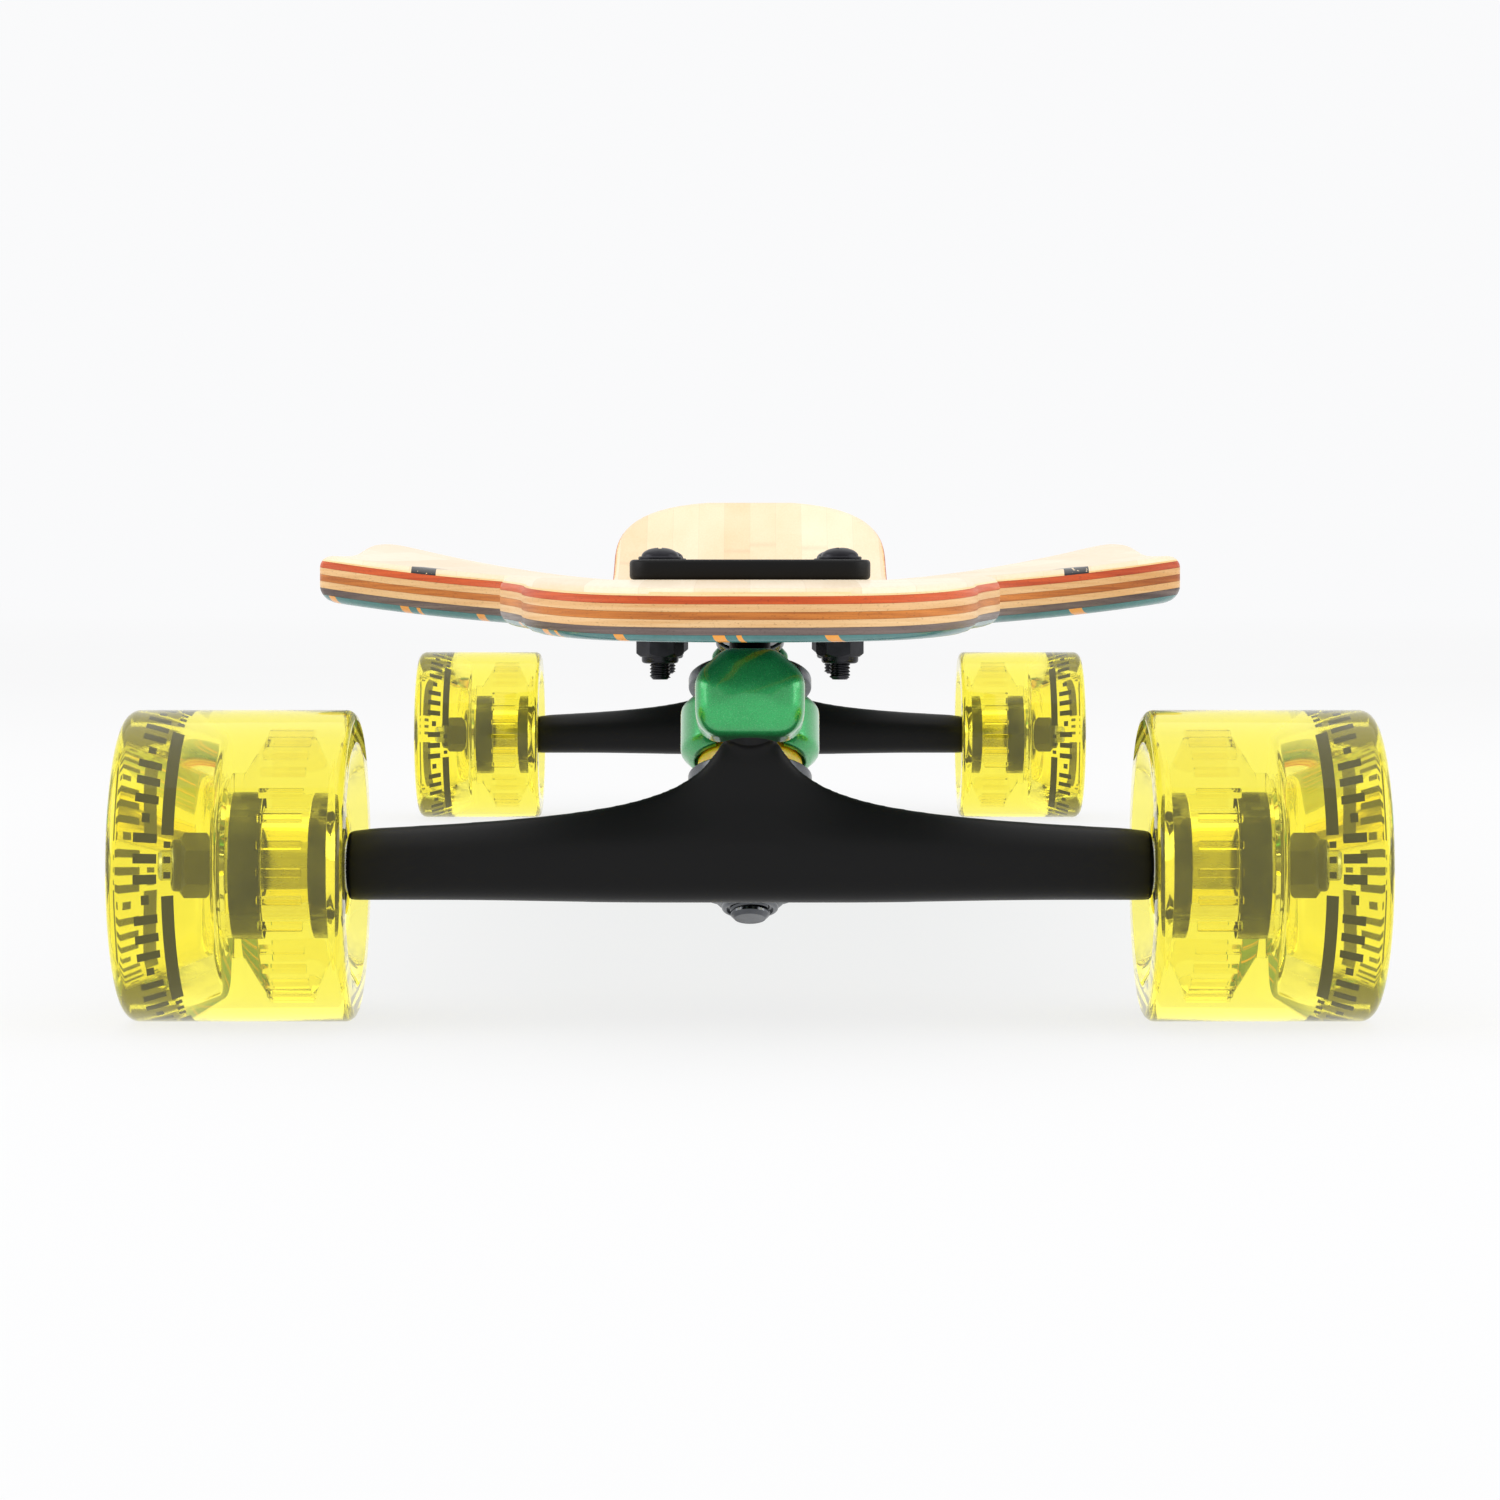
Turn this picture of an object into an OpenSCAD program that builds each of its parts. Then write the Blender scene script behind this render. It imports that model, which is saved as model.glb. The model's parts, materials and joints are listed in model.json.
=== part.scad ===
// Drop-through longboard: a seven-ply deck with a kicktail, two double-kingpin
// trucks and four wheels. Millimetres, +Z up, nose towards -Y. The origin is on
// the floor, below the middle of the deck.

/* [Deck] */
// Distance between the two axles
wheelbase = 800; // [660:1:960]
// Length of deck in front of the front axle
nose_overhang = 78; // [66:1:110]
// Length of deck behind the rear axle
tail_overhang = 122; // [104:1:150]
// Widest part of the deck, halfway between the axles
deck_w = 236; // [210:1:284]
// Width where the cut-out for each wheel ends
wing_w = 206; // [190:1:220]
// Width of the neck between two wheels
neck_w = 112; // [104:1:124]
// Width of the nose
nose_w = 98; // [80:1:112]
// Width of the tail
tail_w = 120; // [96:1:124]
// Thickness of one ply
ply_t = 1.6; // [1.2:0.1:2]
// Height of the rails above the middle at the widest part
concave_rise = 12.8; // [4:0.2:14]
// Drop of the nose below the level of the trucks
nose_drop = 2; // [0:0.5:6]
// Rise of the kicktail
tail_rise = 38; // [20:1:46]

/* [Wheels] */
// Diameter of each wheel
wheel_d = 70; // [66:1:80]
// Width of each wheel
wheel_w = 51.5; // [44:0.5:60]
// How far each wheel's inner lip reaches over the end of the hanger
wheel_inset = 1.7; // [0:0.1:3]

/* [Trucks] */
// Width of the hanger, between the two faces that the wheels run against
hanger_w = 180; // [170:1:216]
// Height from the axle to the deck's top face
truck_h = 64.2; // [63:0.2:78]
// Lean of the kingpins, and slope of the upper pivot axis
lean = 24; // [22:0.5:26]
// Distance between the two kingpins
kingpin_gap = 30; // [29.5:0.5:34]
// Diameter of the kingpins
kingpin_d = 9.5; // [8:0.1:11.5]
// Diameter of the axle rod
axle_d = 7.94; // [7.8:0.02:8.1]
// Diameter of the axle's bare tips, turned down so that the nuts start easily
axle_tip_d = 6.8; // [5:0.1:7.4]
// Height of one upper bushing
upper_bushing_h = 9; // [8:0.5:10]
// Height of one lower bushing
lower_bushing_h = 7; // [6:0.5:8]
// Diameter of the bushings
bushing_d = 24; // [22:0.5:25]
// Thickness of the baseplate's flange
flange_t = 4.6; // [3.5:0.1:6]
// Width of the baseplate's flange beyond the middle of a deck bolt, at each side
flange_edge = 6.86; // [6:0.02:10]

/* [Fasteners] */
// Spacing of the deck bolts across the deck
bolt_gap_x = 41.28; // [40:0.01:50]
// Spacing of the deck bolts along the deck
bolt_gap_y = 63.5; // [60:0.1:66]
// Diameter of the deck bolts
bolt_d = 4.8; // [4:0.1:5.2]
// Length of the deck bolts below their heads
bolt_len = 27.5; // [25:0.5:36]

/* [Hidden] */
$fn = 64;

// Lengthwise places, with the origin halfway along the deck, whose furthest point at
// the tail is the lower edge of its sloping end
ply_count = 7;
deck_t = ply_t * ply_count;
tail_start = 40;
nose_lead = 4;
tail_power = 1.7;
tail_slope = tail_rise * tail_power / (tail_overhang - tail_start);
tail_tuck = deck_t * tail_slope / sqrt(1 + tail_slope * tail_slope);
deck_len = nose_overhang + wheelbase + tail_overhang + tail_tuck;
nose_y = -deck_len / 2;
front_y = nose_y + nose_overhang;
rear_y = front_y + wheelbase;
tail_y = rear_y + tail_overhang;
mid_y = (front_y + rear_y) / 2;
axle_z = wheel_d / 2;
deck_top = axle_z + truck_h;
over = 1;
through = 40;

// Deck outline and section
flat_half = 28;
concave_power = 1.8;
concave_share = 0.68;
flare_start = 32;
flare_len = 30;
end_round = 44;
nose_blunt = 2.5;
tail_blunt = 3;
end_turn = 9;
end_taper = 40;
rail_strips = 4;
flat_share = 0.6;
step = 0.01;

// Upper stage: kingpin, ring and pivot, in the leaning frame whose origin is the
// axle, with +Y inwards along the pivot axis and +Z up along the kingpins
k1_s = 10;
k2_s = k1_s + kingpin_gap;
ring1_h = 35.5;
ring1_t = 8;
ring1_r = 16;
ring_hole_r = kingpin_d / 2 + 2.75;
washer_t = 1.5;
washer_r = bushing_d / 2 + 2.2;
washer_rim = 1.2;
nut_af = kingpin_d + 4.8;
nut_corner = nut_af / 2 / cos(30);
nut_t = 7;
head_t = 6;
thread_out = 2;
bushing_gap = 0.2;
bushing_lip = 1.4;
bushing_straight = 0.7;
seat1_h = ring1_h + ring1_t / 2 + upper_bushing_h + washer_t;
low1_h = ring1_h - ring1_t / 2 - upper_bushing_h - washer_t;
head1_h = seat1_h + 10;
pivot1_s = k2_s + 24;
nose1_r = 5.5;
nose_root = 9;
cup_wall = 2.8;
cup_gap = 0.3;
cup_mouth = 7;
cup_floor = 8;
cup1_r = nose1_r + cup_gap + cup_wall;
housing_wall = 3.4;
housing_floor = 3;

// Lower stage, hung below the link
ring2_t = 6.8;
ring2_r = 14;
washer2_t = 1.2;
washer2_r = bushing_d / 2 + 1;
nut2_t = 5;
head2_t = 5.5;
seat2_h = ring1_h - ring1_t / 2;
ring2_h = seat2_h - washer2_t - lower_bushing_h - ring2_t / 2;
low2_h = ring2_h - ring2_t / 2 - lower_bushing_h - washer2_t;
link_top_h = ring1_h + ring1_t / 2;

// The lower pivot axis runs from the cup in the link's front boss to ring 2
cup2_y = -8;
cup2_z = 35;
cup2_mouth = 4;
cup2_floor = 9;
ring2_y = k2_s * cos(lean) + ring2_h * sin(lean);
ring2_z = -k2_s * sin(lean) + ring2_h * cos(lean);
lean2 = atan2(cup2_z - ring2_z, ring2_y - cup2_y);
nose2_r = 6.2;
cup2_r = nose2_r + cup_gap + 2.3;
boss_r = 12.9;
boss_top = 5;
boss_reach = 4;
boss_gap = 2.2;
waist_half = 12;
tongue_half = 11;
tongue_len = 29;

// Baseplate
row_y = 22;
flange_end = 11;
flange_w = bolt_gap_x + 2 * flange_edge;
flange_front = row_y - flange_end;
flange_back = row_y + bolt_gap_y + flange_end;
flange_round = 6;
slot_front = row_y + 1;
slot_back = row_y + bolt_gap_y - 8;
slot_half = bolt_gap_x / 2 - 7.2;
slot_round = 4;
slot_gap = 0.8;
block_drop = 2.6;
block_half = slot_half - slot_gap;
seat_r = 13;
seat_flare = 1;
leg_half = 8;
leg_root = 18;
leg_end = 8;
leg_foot = 10;
housing1_r = cup1_r + housing_wall;
deck_under = truck_h - deck_t;

// Deck fasteners
head_r = 5;
head_h = 2.8;
dome_r = 6;
deck_nut_af = 9.5;
deck_nut_hex = 5.4;
deck_nut_t = 6.9;
deck_washer_r = 6;
deck_washer_t = 1.2;
hole_gap = 0.3;

// Hanger
arm_r = 7.8;
hanger_under = 8.4;
neck_top = 28;
shoulder = 226;
shoulder_x = 4.75;
shoulder_slope = 0.022;
web_front = -6.5;
web_back = 2.4;
web_end = 6;
belly_half = 30;
cheek_gap = 0.25;
cheek_in = nut_corner + cheek_gap;
cheek_t = 6;
cheek_foot = 4;
cheek_grip = 6;

// Wheel, along its own axle from the end of the hanger outwards
speed_t = 1.2;
bearing_w = 7;
bearing_r = 11;
race_in_r = 6.1;
race_out_r = 9.1;
ball_r = 1.95;
ball_ring = 7.6;
ball_count = 7;
ball_gap = 0.1;
spacer_w = 10;
spacer_r = 5.4;
bearing1 = speed_t;
bearing2 = bearing1 + bearing_w + spacer_w;
washer_out = bearing2 + bearing_w;
nut_at = washer_out + speed_t;
axle_nut_t = 8;
axle_nut_af = 12.7;
nut_end = nut_at + axle_nut_t;
axle_tip = 2.6;
axle_end = nut_end + axle_tip;
core_hub_r = 14.6;
core_disc_r = 25;
core_disc_t = 9;
core_lip = 0.4;
core_step = 3;
core_wall = 1.6;
flange_in_r = 8.6;
shield_t = 0.4;
shield_in = 0.3;
lip_in = 3;
lip_out = 7;
face_r = 27.5;
dish_in = 5;
dish_out = wheel_w - wheel_inset - washer_out - 1.5;
dish_flare = 1;

// ---- Deck ----------------------------------------------------------------

function ease(t) = t <= 0 ? 0 : t >= 1 ? 1 : t * t * (3 - 2 * t);

// Half width without the rounded ends, at a distance inwards from the nearest axle
function body_half(u, end_w) = neck_w / 2
    + (wing_w - neck_w) / 2 * ease((u - flare_start) / flare_len)
    + (deck_w - wing_w) / 2 * ease((u - flare_start - flare_len) / (wheelbase / 2 - flare_start - flare_len))
    + (end_w - neck_w) / 2 * ease(-u / end_taper);

// Share of the width left at a distance from the tip of a rounded end, which is blunt
function end_share(d, blunt) = d >= end_round ? 1
    : pow(1 - pow((1 - d / end_round) * cos(end_turn), blunt), 1 / blunt);

function half_at(y) = y < mid_y
    ? body_half(y - front_y, nose_w) * end_share(y - nose_y, nose_blunt)
    : body_half(rear_y - y, tail_w) * end_share(tail_y - y, tail_blunt);

// Height of the top face's middle line, and its slope
nose_flat = front_y + flange_front - nose_lead;
tail_flat = rear_y + tail_start;
function rise_at(y) = y < nose_flat ? -nose_drop * pow((nose_flat - y) / (nose_flat - nose_y), 2)
    : y > tail_flat ? tail_rise * pow((y - tail_flat) / (tail_y - tail_flat), tail_power)
    : 0;
function slope_at(y) = (rise_at(y + step) - rise_at(y - step)) / (2 * step);

// The rails stand highest halfway along, and keep a share of that rise at the trucks
function rail_lift(y) = concave_share + (1 - concave_share)
    * ease(1 - abs(y - mid_y) / (wheelbase / 2 - flare_start - flare_len));
function concave_at(x, y) = abs(x) <= flat_half ? 0
    : concave_rise * rail_lift(y) * pow((abs(x) - flat_half) / (deck_w / 2 - flat_half), concave_power);

// The deck's rounded ends keep their thickness square to its surface
function deck_point(y, x, depth) = let (s = slope_at(y), n = sqrt(1 + s * s))
    [x, y + depth * s / n, deck_top + rise_at(y) + concave_at(x, y) - depth / n];

// Places of the cross-sections, closer where the outline turns
end_steps = 7;
flare_steps = 8;
mid_steps = 8;
tail_steps = 7;
function end_dist(i) = end_round * (1 - cos(end_turn + (90 - end_turn) * i / end_steps) / cos(end_turn));
front_flare = front_y + flare_start;
rear_flare = rear_y - flare_start;
stations = concat(
    [for (i = [0 : end_steps]) nose_y + end_dist(i)],
    [for (i = [1 : 3]) nose_y + end_round + (front_flare - nose_y - end_round) * i / 4],
    [for (i = [0 : flare_steps]) front_flare + flare_len * i / flare_steps],
    [for (i = [1 : mid_steps - 1])
        front_flare + flare_len + (rear_flare - front_flare - 2 * flare_len) * i / mid_steps],
    [for (i = [0 : flare_steps]) rear_flare - flare_len + flare_len * i / flare_steps],
    [for (i = [1 : 3]) rear_flare + (tail_flat - rear_flare) * i / 4],
    [for (i = [0 : tail_steps - 3]) tail_flat + (tail_y - end_round - tail_flat) * i / (tail_steps - 2)],
    [for (i = [end_steps : -1 : 0]) tail_y - end_dist(i)]
);
strips = 2 * rail_strips + 1;
function inner_half(w) = min(flat_half, flat_share * w);
function rail_xs(w, side) = [for (i = [0 : rail_strips])
    side * (inner_half(w) + (w - inner_half(w)) * i / rail_strips)];
function columns(w) = concat([for (i = [rail_strips : -1 : 0]) rail_xs(w, -1)[i]], rail_xs(w, 1));
function sheet_points(depth) = [for (y = stations, x = columns(half_at(y))) deck_point(y, x, depth)];

// One ply: a closed skin between two depths
module ply_solid(depth) {
    rows = len(stations);
    cols = strips + 1;
    low = rows * cols;
    points = concat(sheet_points(depth), sheet_points(depth + ply_t));
    tops = [for (i = [0 : rows - 2], j = [0 : cols - 2]) let (a = i * cols + j)
        each [[a, a + cols, a + 1], [a + 1, a + cols, a + cols + 1]]];
    unders = [for (i = [0 : rows - 2], j = [0 : cols - 2]) let (a = low + i * cols + j)
        each [[a, a + 1, a + cols], [a + 1, a + cols + 1, a + cols]]];
    lefts = [for (i = [0 : rows - 2]) let (a = i * cols)
        each [[a, a + low, a + cols], [a + cols, a + low, a + low + cols]]];
    rights = [for (i = [0 : rows - 2]) let (a = i * cols + cols - 1)
        each [[a, a + cols, a + low], [a + cols, a + low + cols, a + low]]];
    noses = [for (j = [0 : cols - 2]) each [[j, j + 1, j + low], [j + 1, j + low + 1, j + low]]];
    tails = [for (j = [0 : cols - 2]) let (a = (rows - 1) * cols + j)
        each [[a, a + low, a + 1], [a + 1, a + low, a + low + 1]]];
    polyhedron(points = points, faces = concat(tops, unders, lefts, rights, noses, tails));
}

module ply(index) {
    difference() {
        ply_solid(index * ply_t);
        for (side = ["front", "rear"]) at_truck(side) {
            deck_bolt_places() translate([0, 0, deck_under - through])
                cylinder(r = bolt_d / 2 + hole_gap, h = deck_t + 2 * through);
            translate([0, 0, deck_under - through])
                slot(slot_half, slot_front, slot_back, deck_t + 2 * through);
        }
    }
}

// ---- Placing -------------------------------------------------------------

// A truck's own frame: origin on the axle, +Y towards the middle of the board
module at_truck(side) {
    if (side == "front") translate([0, front_y, axle_z]) children();
    if (side == "rear") translate([0, rear_y, axle_z]) mirror([0, 1, 0]) children();
}

// The leaning frame of the kingpins and of the upper pivot axis
module leaning() rotate([-lean, 0, 0]) children();

// The frame of the lower pivot axis, with its origin in the link's front boss
module on_axis2() translate([0, cup2_y, cup2_z]) rotate([-lean2, 0, 0]) children();

module deck_bolt_places() {
    for (x = [-1, 1], y = [0, 1]) translate([x * bolt_gap_x / 2, row_y + y * bolt_gap_y, 0]) children();
}

// A wheel's frame: +Z along the axle outwards from the end of the hanger
module at_hub(side, hand) {
    at_truck(side) mirror([hand == "left" ? 1 : 0, 0, 0])
        translate([hanger_w / 2, 0, 0]) rotate([0, 90, 0]) children();
}

// ---- Shared shapes -------------------------------------------------------

module hexagon(af, h) cylinder(d = af / cos(30), h = h, $fn = 6);

module tube(r, hole_r, h) {
    difference() {
        cylinder(r = r, h = h);
        translate([0, 0, -over]) cylinder(r = hole_r, h = h + 2 * over);
    }
}

// A plate with rounded corners
module rounded_plate(half, front, back, round, h) {
    linear_extrude(h) union() {
        translate([-half + round, front]) square([2 * (half - round), back - front]);
        translate([-half, front + round]) square([2 * half, back - front - 2 * round]);
        for (x = [-1, 1] * (half - round), y = [front + round, back - round])
            translate([x, y]) circle(r = round);
    }
}

module slot(half, front, back, h) rounded_plate(half, front, back, slot_round, h);

// A cylinder along +Y
module rod_y(r, from, to) translate([0, from, 0]) rotate([-90, 0, 0]) cylinder(r = r, h = to - from);

// A cylinder along +Y with a round far end
module round_rod_y(r, from, to) {
    translate([0, from, 0]) rotate([-90, 0, 0]) rotate_extrude() union() {
        square([r, to - from]);
        intersection() {
            translate([0, to - from]) circle(r = r);
            square([r, to - from + r]);
        }
    }
}

// ---- Truck, fixed to the deck --------------------------------------------

module baseplate(side) {
    color("#222426") at_truck(side) difference() {
        union() {
            translate([0, 0, truck_h])
                rounded_plate(flange_w / 2, flange_front, flange_back, flange_round, flange_t);
            translate([0, 0, deck_under - block_drop])
                slot(block_half, slot_front + slot_gap, slot_back - slot_gap, deck_t + block_drop + over);
            kingpin_seat();
            pivot_leg();
        }
        leaning() translate([0, k1_s, 0]) {
            translate([0, 0, seat1_h - over]) cylinder(r = kingpin_d / 2, h = through);
            translate([0, 0, head1_h]) hexagon(nut_af + 2 * bushing_gap, through);
        }
        leaning() translate([0, 0, ring1_h]) rod_y(cup1_r, pivot1_s - through / 2, pivot1_s + cup_floor);
        deck_bolt_places() cylinder(r = bolt_d / 2 + hole_gap, h = truck_h + flange_t + over);
    }
}

// The boss that the upper washer seats on, kept clear of the deck's underside
module kingpin_seat() {
    intersection() {
        leaning() translate([0, k1_s, seat1_h])
            cylinder(r1 = seat_r - seat_flare, r2 = seat_r + seat_flare, h = 2 * deck_t);
        union() {
            translate([-through, 0, 0]) cube([2 * through, slot_back, deck_under - slot_gap]);
            translate([-block_half, slot_front + slot_gap, 0])
                cube([2 * block_half, through, truck_h + flange_t / 2]);
        }
    }
}

// The leg that carries the upper pivot cup
module pivot_leg() {
    pivot1_y = pivot1_s * cos(lean) + ring1_h * sin(lean);
    pivot1_z = ring1_h * cos(lean) - pivot1_s * sin(lean);
    rotate([90, 0, 90]) translate([0, 0, -leg_half]) linear_extrude(2 * leg_half)
        polygon([
            [slot_back - leg_root, deck_under - over / 2],
            [slot_back + leg_end, deck_under - over / 2],
            [pivot1_y + leg_foot, pivot1_z + housing_floor],
            [pivot1_y, pivot1_z + cup1_r]
        ]);
    leaning() translate([0, 0, ring1_h])
        rod_y(housing1_r, pivot1_s - cup_mouth, pivot1_s + cup_floor + housing_floor);
}

module upper_pivot_cup(side) {
    color("#e8e4d8") at_truck(side) leaning() translate([0, 0, ring1_h]) difference() {
        rod_y(cup1_r, pivot1_s - cup_mouth, pivot1_s + cup_floor);
        round_rod_y(nose1_r + cup_gap, pivot1_s - cup_mouth - over, pivot1_s);
    }
}

module upper_kingpin(side) {
    color("#3c3e40") at_truck(side) leaning() translate([0, k1_s, 0]) {
        translate([0, 0, low1_h - nut_t - thread_out])
            cylinder(r = kingpin_d / 2, h = head1_h - low1_h + nut_t + thread_out + over);
        translate([0, 0, head1_h]) hexagon(nut_af, head_t);
    }
}

module upper_kingpin_nut(side) {
    color("#8d9094") at_truck(side) leaning() translate([0, k1_s, low1_h - nut_t]) difference() {
        hexagon(nut_af, nut_t);
        translate([0, 0, -over]) cylinder(r = kingpin_d / 2, h = nut_t + 2 * over);
    }
}

// A cupped washer: a flat disc with a rim turned towards the bushing
module cupped_washer(r, t, rim, up) {
    difference() {
        translate([0, 0, up ? 0 : -rim]) cylinder(r = r, h = t + rim);
        translate([0, 0, up ? t : -rim - over]) cylinder(r = r - rim, h = rim + over);
        translate([0, 0, -rim - over]) cylinder(r = kingpin_d / 2, h = t + 2 * rim + 2 * over);
    }
}

module upper_washers(side) {
    color("#8d9094") at_truck(side) leaning() translate([0, k1_s, 0]) {
        translate([0, 0, seat1_h - washer_t]) cupped_washer(washer_r, washer_t, washer_rim, false);
        translate([0, 0, low1_h]) cupped_washer(washer_r, washer_t, washer_rim, true);
    }
}

// One bushing, slightly waisted at its ring end
module bushing(r, h, flip) {
    translate([0, 0, flip ? h : 0]) mirror([0, 0, flip ? 1 : 0]) difference() {
        union() {
            cylinder(r = r, h = h * bushing_straight);
            translate([0, 0, h * bushing_straight])
                cylinder(r1 = r, r2 = r - bushing_lip, h = h * (1 - bushing_straight));
        }
        translate([0, 0, -over]) cylinder(r = kingpin_d / 2 + bushing_gap, h = h + 2 * over);
    }
}

module upper_bushings(side) {
    color("#f4d62c") at_truck(side) leaning() translate([0, k1_s, 0]) {
        translate([0, 0, ring1_h + ring1_t / 2]) bushing(bushing_d / 2, upper_bushing_h, true);
        translate([0, 0, ring1_h - ring1_t / 2 - upper_bushing_h])
            bushing(bushing_d / 2, upper_bushing_h, false);
    }
}

module deck_bolts(side) {
    color("#1d1e20") at_truck(side) deck_bolt_places() {
        translate([0, 0, truck_h + flange_t - bolt_len]) cylinder(r = bolt_d / 2, h = bolt_len + over / 2);
        translate([0, 0, truck_h + flange_t]) intersection() {
            cylinder(r = head_r, h = head_h);
            translate([0, 0, head_h - dome_r]) sphere(r = dome_r);
        }
    }
}

module deck_nuts(side) {
    color("#6f7377") at_truck(side) deck_bolt_places() {
        translate([0, 0, deck_under - deck_washer_t - deck_nut_t]) difference() {
            union() {
                translate([0, 0, deck_nut_t - deck_nut_hex]) hexagon(deck_nut_af, deck_nut_hex);
                cylinder(r1 = deck_nut_af / 2 - 1, r2 = deck_nut_af / 2 - 0.4, h = deck_nut_t - deck_nut_hex);
            }
            translate([0, 0, -over]) cylinder(r = bolt_d / 2, h = deck_nut_t + 2 * over);
        }
    }
}

module deck_washers() {
    color("#7d8185") for (side = ["front", "rear"]) at_truck(side) deck_bolt_places()
        translate([0, 0, deck_under - deck_washer_t])
            tube(deck_washer_r, bolt_d / 2, deck_washer_t);
}

// ---- Truck, link ---------------------------------------------------------

module link(side) {
    color("#1d9a55") at_truck(side) difference() {
        union() {
            leaning() translate([0, 0, seat2_h]) {
                translate([0, k1_s, 0]) cylinder(r = ring1_r, h = ring1_t);
                translate([0, k2_s, 0]) cylinder(r = ring2_r, h = ring1_t);
                translate([-waist_half, k1_s, 0]) cube([2 * waist_half, kingpin_gap, ring1_t]);
                translate([-tongue_half, k1_s - tongue_len, 0]) cube([2 * tongue_half, tongue_len, ring1_t]);
            }
            leaning() translate([0, 0, ring1_h]) {
                translate([-nose_root, k2_s, -ring1_t / 2])
                    cube([2 * nose_root, washer2_r + 1.5, ring1_t]);
                rod_y(nose1_r + 1.5, k2_s + washer2_r + 1, pivot1_s - cup_mouth - 1.5);
                round_rod_y(nose1_r, pivot1_s - cup_mouth - 3, pivot1_s);
            }
            on_axis2() mirror([0, 1, 0]) round_rod_y(boss_r, -boss_reach, boss_top);
        }
        leaning() translate([0, k1_s, seat2_h - over]) cylinder(r = ring_hole_r, h = through);
        leaning() translate([0, k2_s, seat2_h - over]) cylinder(r = kingpin_d / 2, h = through);
        on_axis2() rod_y(cup2_r, -cup2_floor, cup2_mouth + over);
        on_axis2() rod_y(nose2_r + boss_gap, cup2_mouth, through);
        leaning() translate([0, k1_s, link_top_h]) cylinder(r = washer_r + 2, h = through);
        on_axis2() translate([-through / 2, cup2_mouth, -through]) cube([through, through, through]);
    }
}

module lower_pivot_cup(side) {
    color("#e8e4d8") at_truck(side) on_axis2() difference() {
        rod_y(cup2_r, -cup2_floor, cup2_mouth);
        mirror([0, 1, 0]) round_rod_y(nose2_r + cup_gap, -cup2_mouth - over, 0);
    }
}

module lower_kingpin(side) {
    color("#3c3e40") at_truck(side) leaning() translate([0, k2_s, 0]) {
        translate([0, 0, low2_h - nut2_t - thread_out])
            cylinder(r = kingpin_d / 2, h = link_top_h - low2_h + nut2_t + thread_out + over);
        translate([0, 0, link_top_h]) hexagon(nut_af, head2_t);
    }
}

module lower_kingpin_nut(side) {
    color("#8d9094") at_truck(side) leaning() translate([0, k2_s, low2_h - nut2_t]) difference() {
        hexagon(nut_af, nut2_t);
        translate([0, 0, -over]) cylinder(r = kingpin_d / 2, h = nut2_t + 2 * over);
    }
}

module lower_washers(side) {
    color("#8d9094") at_truck(side) leaning() translate([0, k2_s, 0]) {
        translate([0, 0, seat2_h - washer2_t]) tube(washer2_r, kingpin_d / 2, washer2_t);
        translate([0, 0, low2_h]) tube(washer2_r, kingpin_d / 2, washer2_t);
    }
}

module lower_bushings(side) {
    color("#f4d62c") at_truck(side) leaning() translate([0, k2_s, 0]) {
        translate([0, 0, ring2_h + ring2_t / 2]) bushing(bushing_d / 2, lower_bushing_h, true);
        translate([0, 0, ring2_h - ring2_t / 2 - lower_bushing_h])
            bushing(bushing_d / 2, lower_bushing_h, false);
    }
}

// ---- Truck, hanger and axle ----------------------------------------------

// Top edge of the hanger seen from the front, at a distance from its middle
function hanger_top(x) = arm_r + shoulder / (x + shoulder_x) - shoulder_slope * x;
neck_half = shoulder / (neck_top - arm_r) - shoulder_x;
shoulder_steps = 9;
shoulder_xs = [for (i = [0 : shoulder_steps])
    neck_half + (hanger_w / 2 - web_end - neck_half) * pow(i / shoulder_steps, 2)];
shoulder_points = [for (x = shoulder_xs) [x, min(neck_top, hanger_top(x))]];

// Lays the children along +X, starting this far to the left
module along_x(left) {
    translate([-left, 0, 0]) rotate([0, 90, 0]) children();
}

module hanger(side) {
    color("#17181a") at_truck(side) difference() {
        union() {
            along_x(hanger_w / 2) cylinder(r = arm_r, h = hanger_w);
            for (side = [0, 1]) mirror([side, 0, 0]) translate([0, web_back, 0]) rotate([90, 0, 0])
                linear_extrude(web_back - web_front) polygon(concat(
                    [[0, neck_top]],
                    shoulder_points,
                    [[hanger_w / 2 - web_end, -arm_r + over], [belly_half, -hanger_under], [0, -hanger_under]]
                ));
            on_axis2() mirror([0, 1, 0]) round_rod_y(nose2_r, -cup2_floor, 0);
            cheeks();
            leaning() translate([0, k2_s, ring2_h - ring2_t / 2]) cylinder(r = ring2_r, h = ring2_t);
        }
        leaning() translate([0, k2_s, ring2_h - ring2_t]) cylinder(r = ring_hole_r, h = 2 * ring2_t);
        along_x(hanger_w / 2 + over) cylinder(r = axle_d / 2, h = hanger_w + 2 * over);
    }
}

// Two cheeks that join the beam to the ring, one on each side of the upper kingpin's nut
module cheeks() {
    leaning() for (x = [-1, 1]) translate([x * (cheek_in + cheek_t / 2) - cheek_t / 2, 0, 0])
        rotate([90, 0, 90]) linear_extrude(cheek_t) polygon([
            [-cheek_foot, -arm_r + 3],
            [k1_s + 4, -3],
            [k2_s - ring2_r - 2, 3],
            [k2_s - ring2_r + 1, ring2_h - ring2_t / 2],
            [k2_s - cheek_grip, ring2_h - ring2_t / 2],
            [k2_s - cheek_grip, ring2_h + ring2_t / 2],
            [k2_s - ring2_r + 1, ring2_h + ring2_t / 2],
            [k1_s + 8, arm_r + 1],
            [k1_s - 4, arm_r - 1],
            [-cheek_foot, arm_r - 2]
        ]);
}

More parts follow.
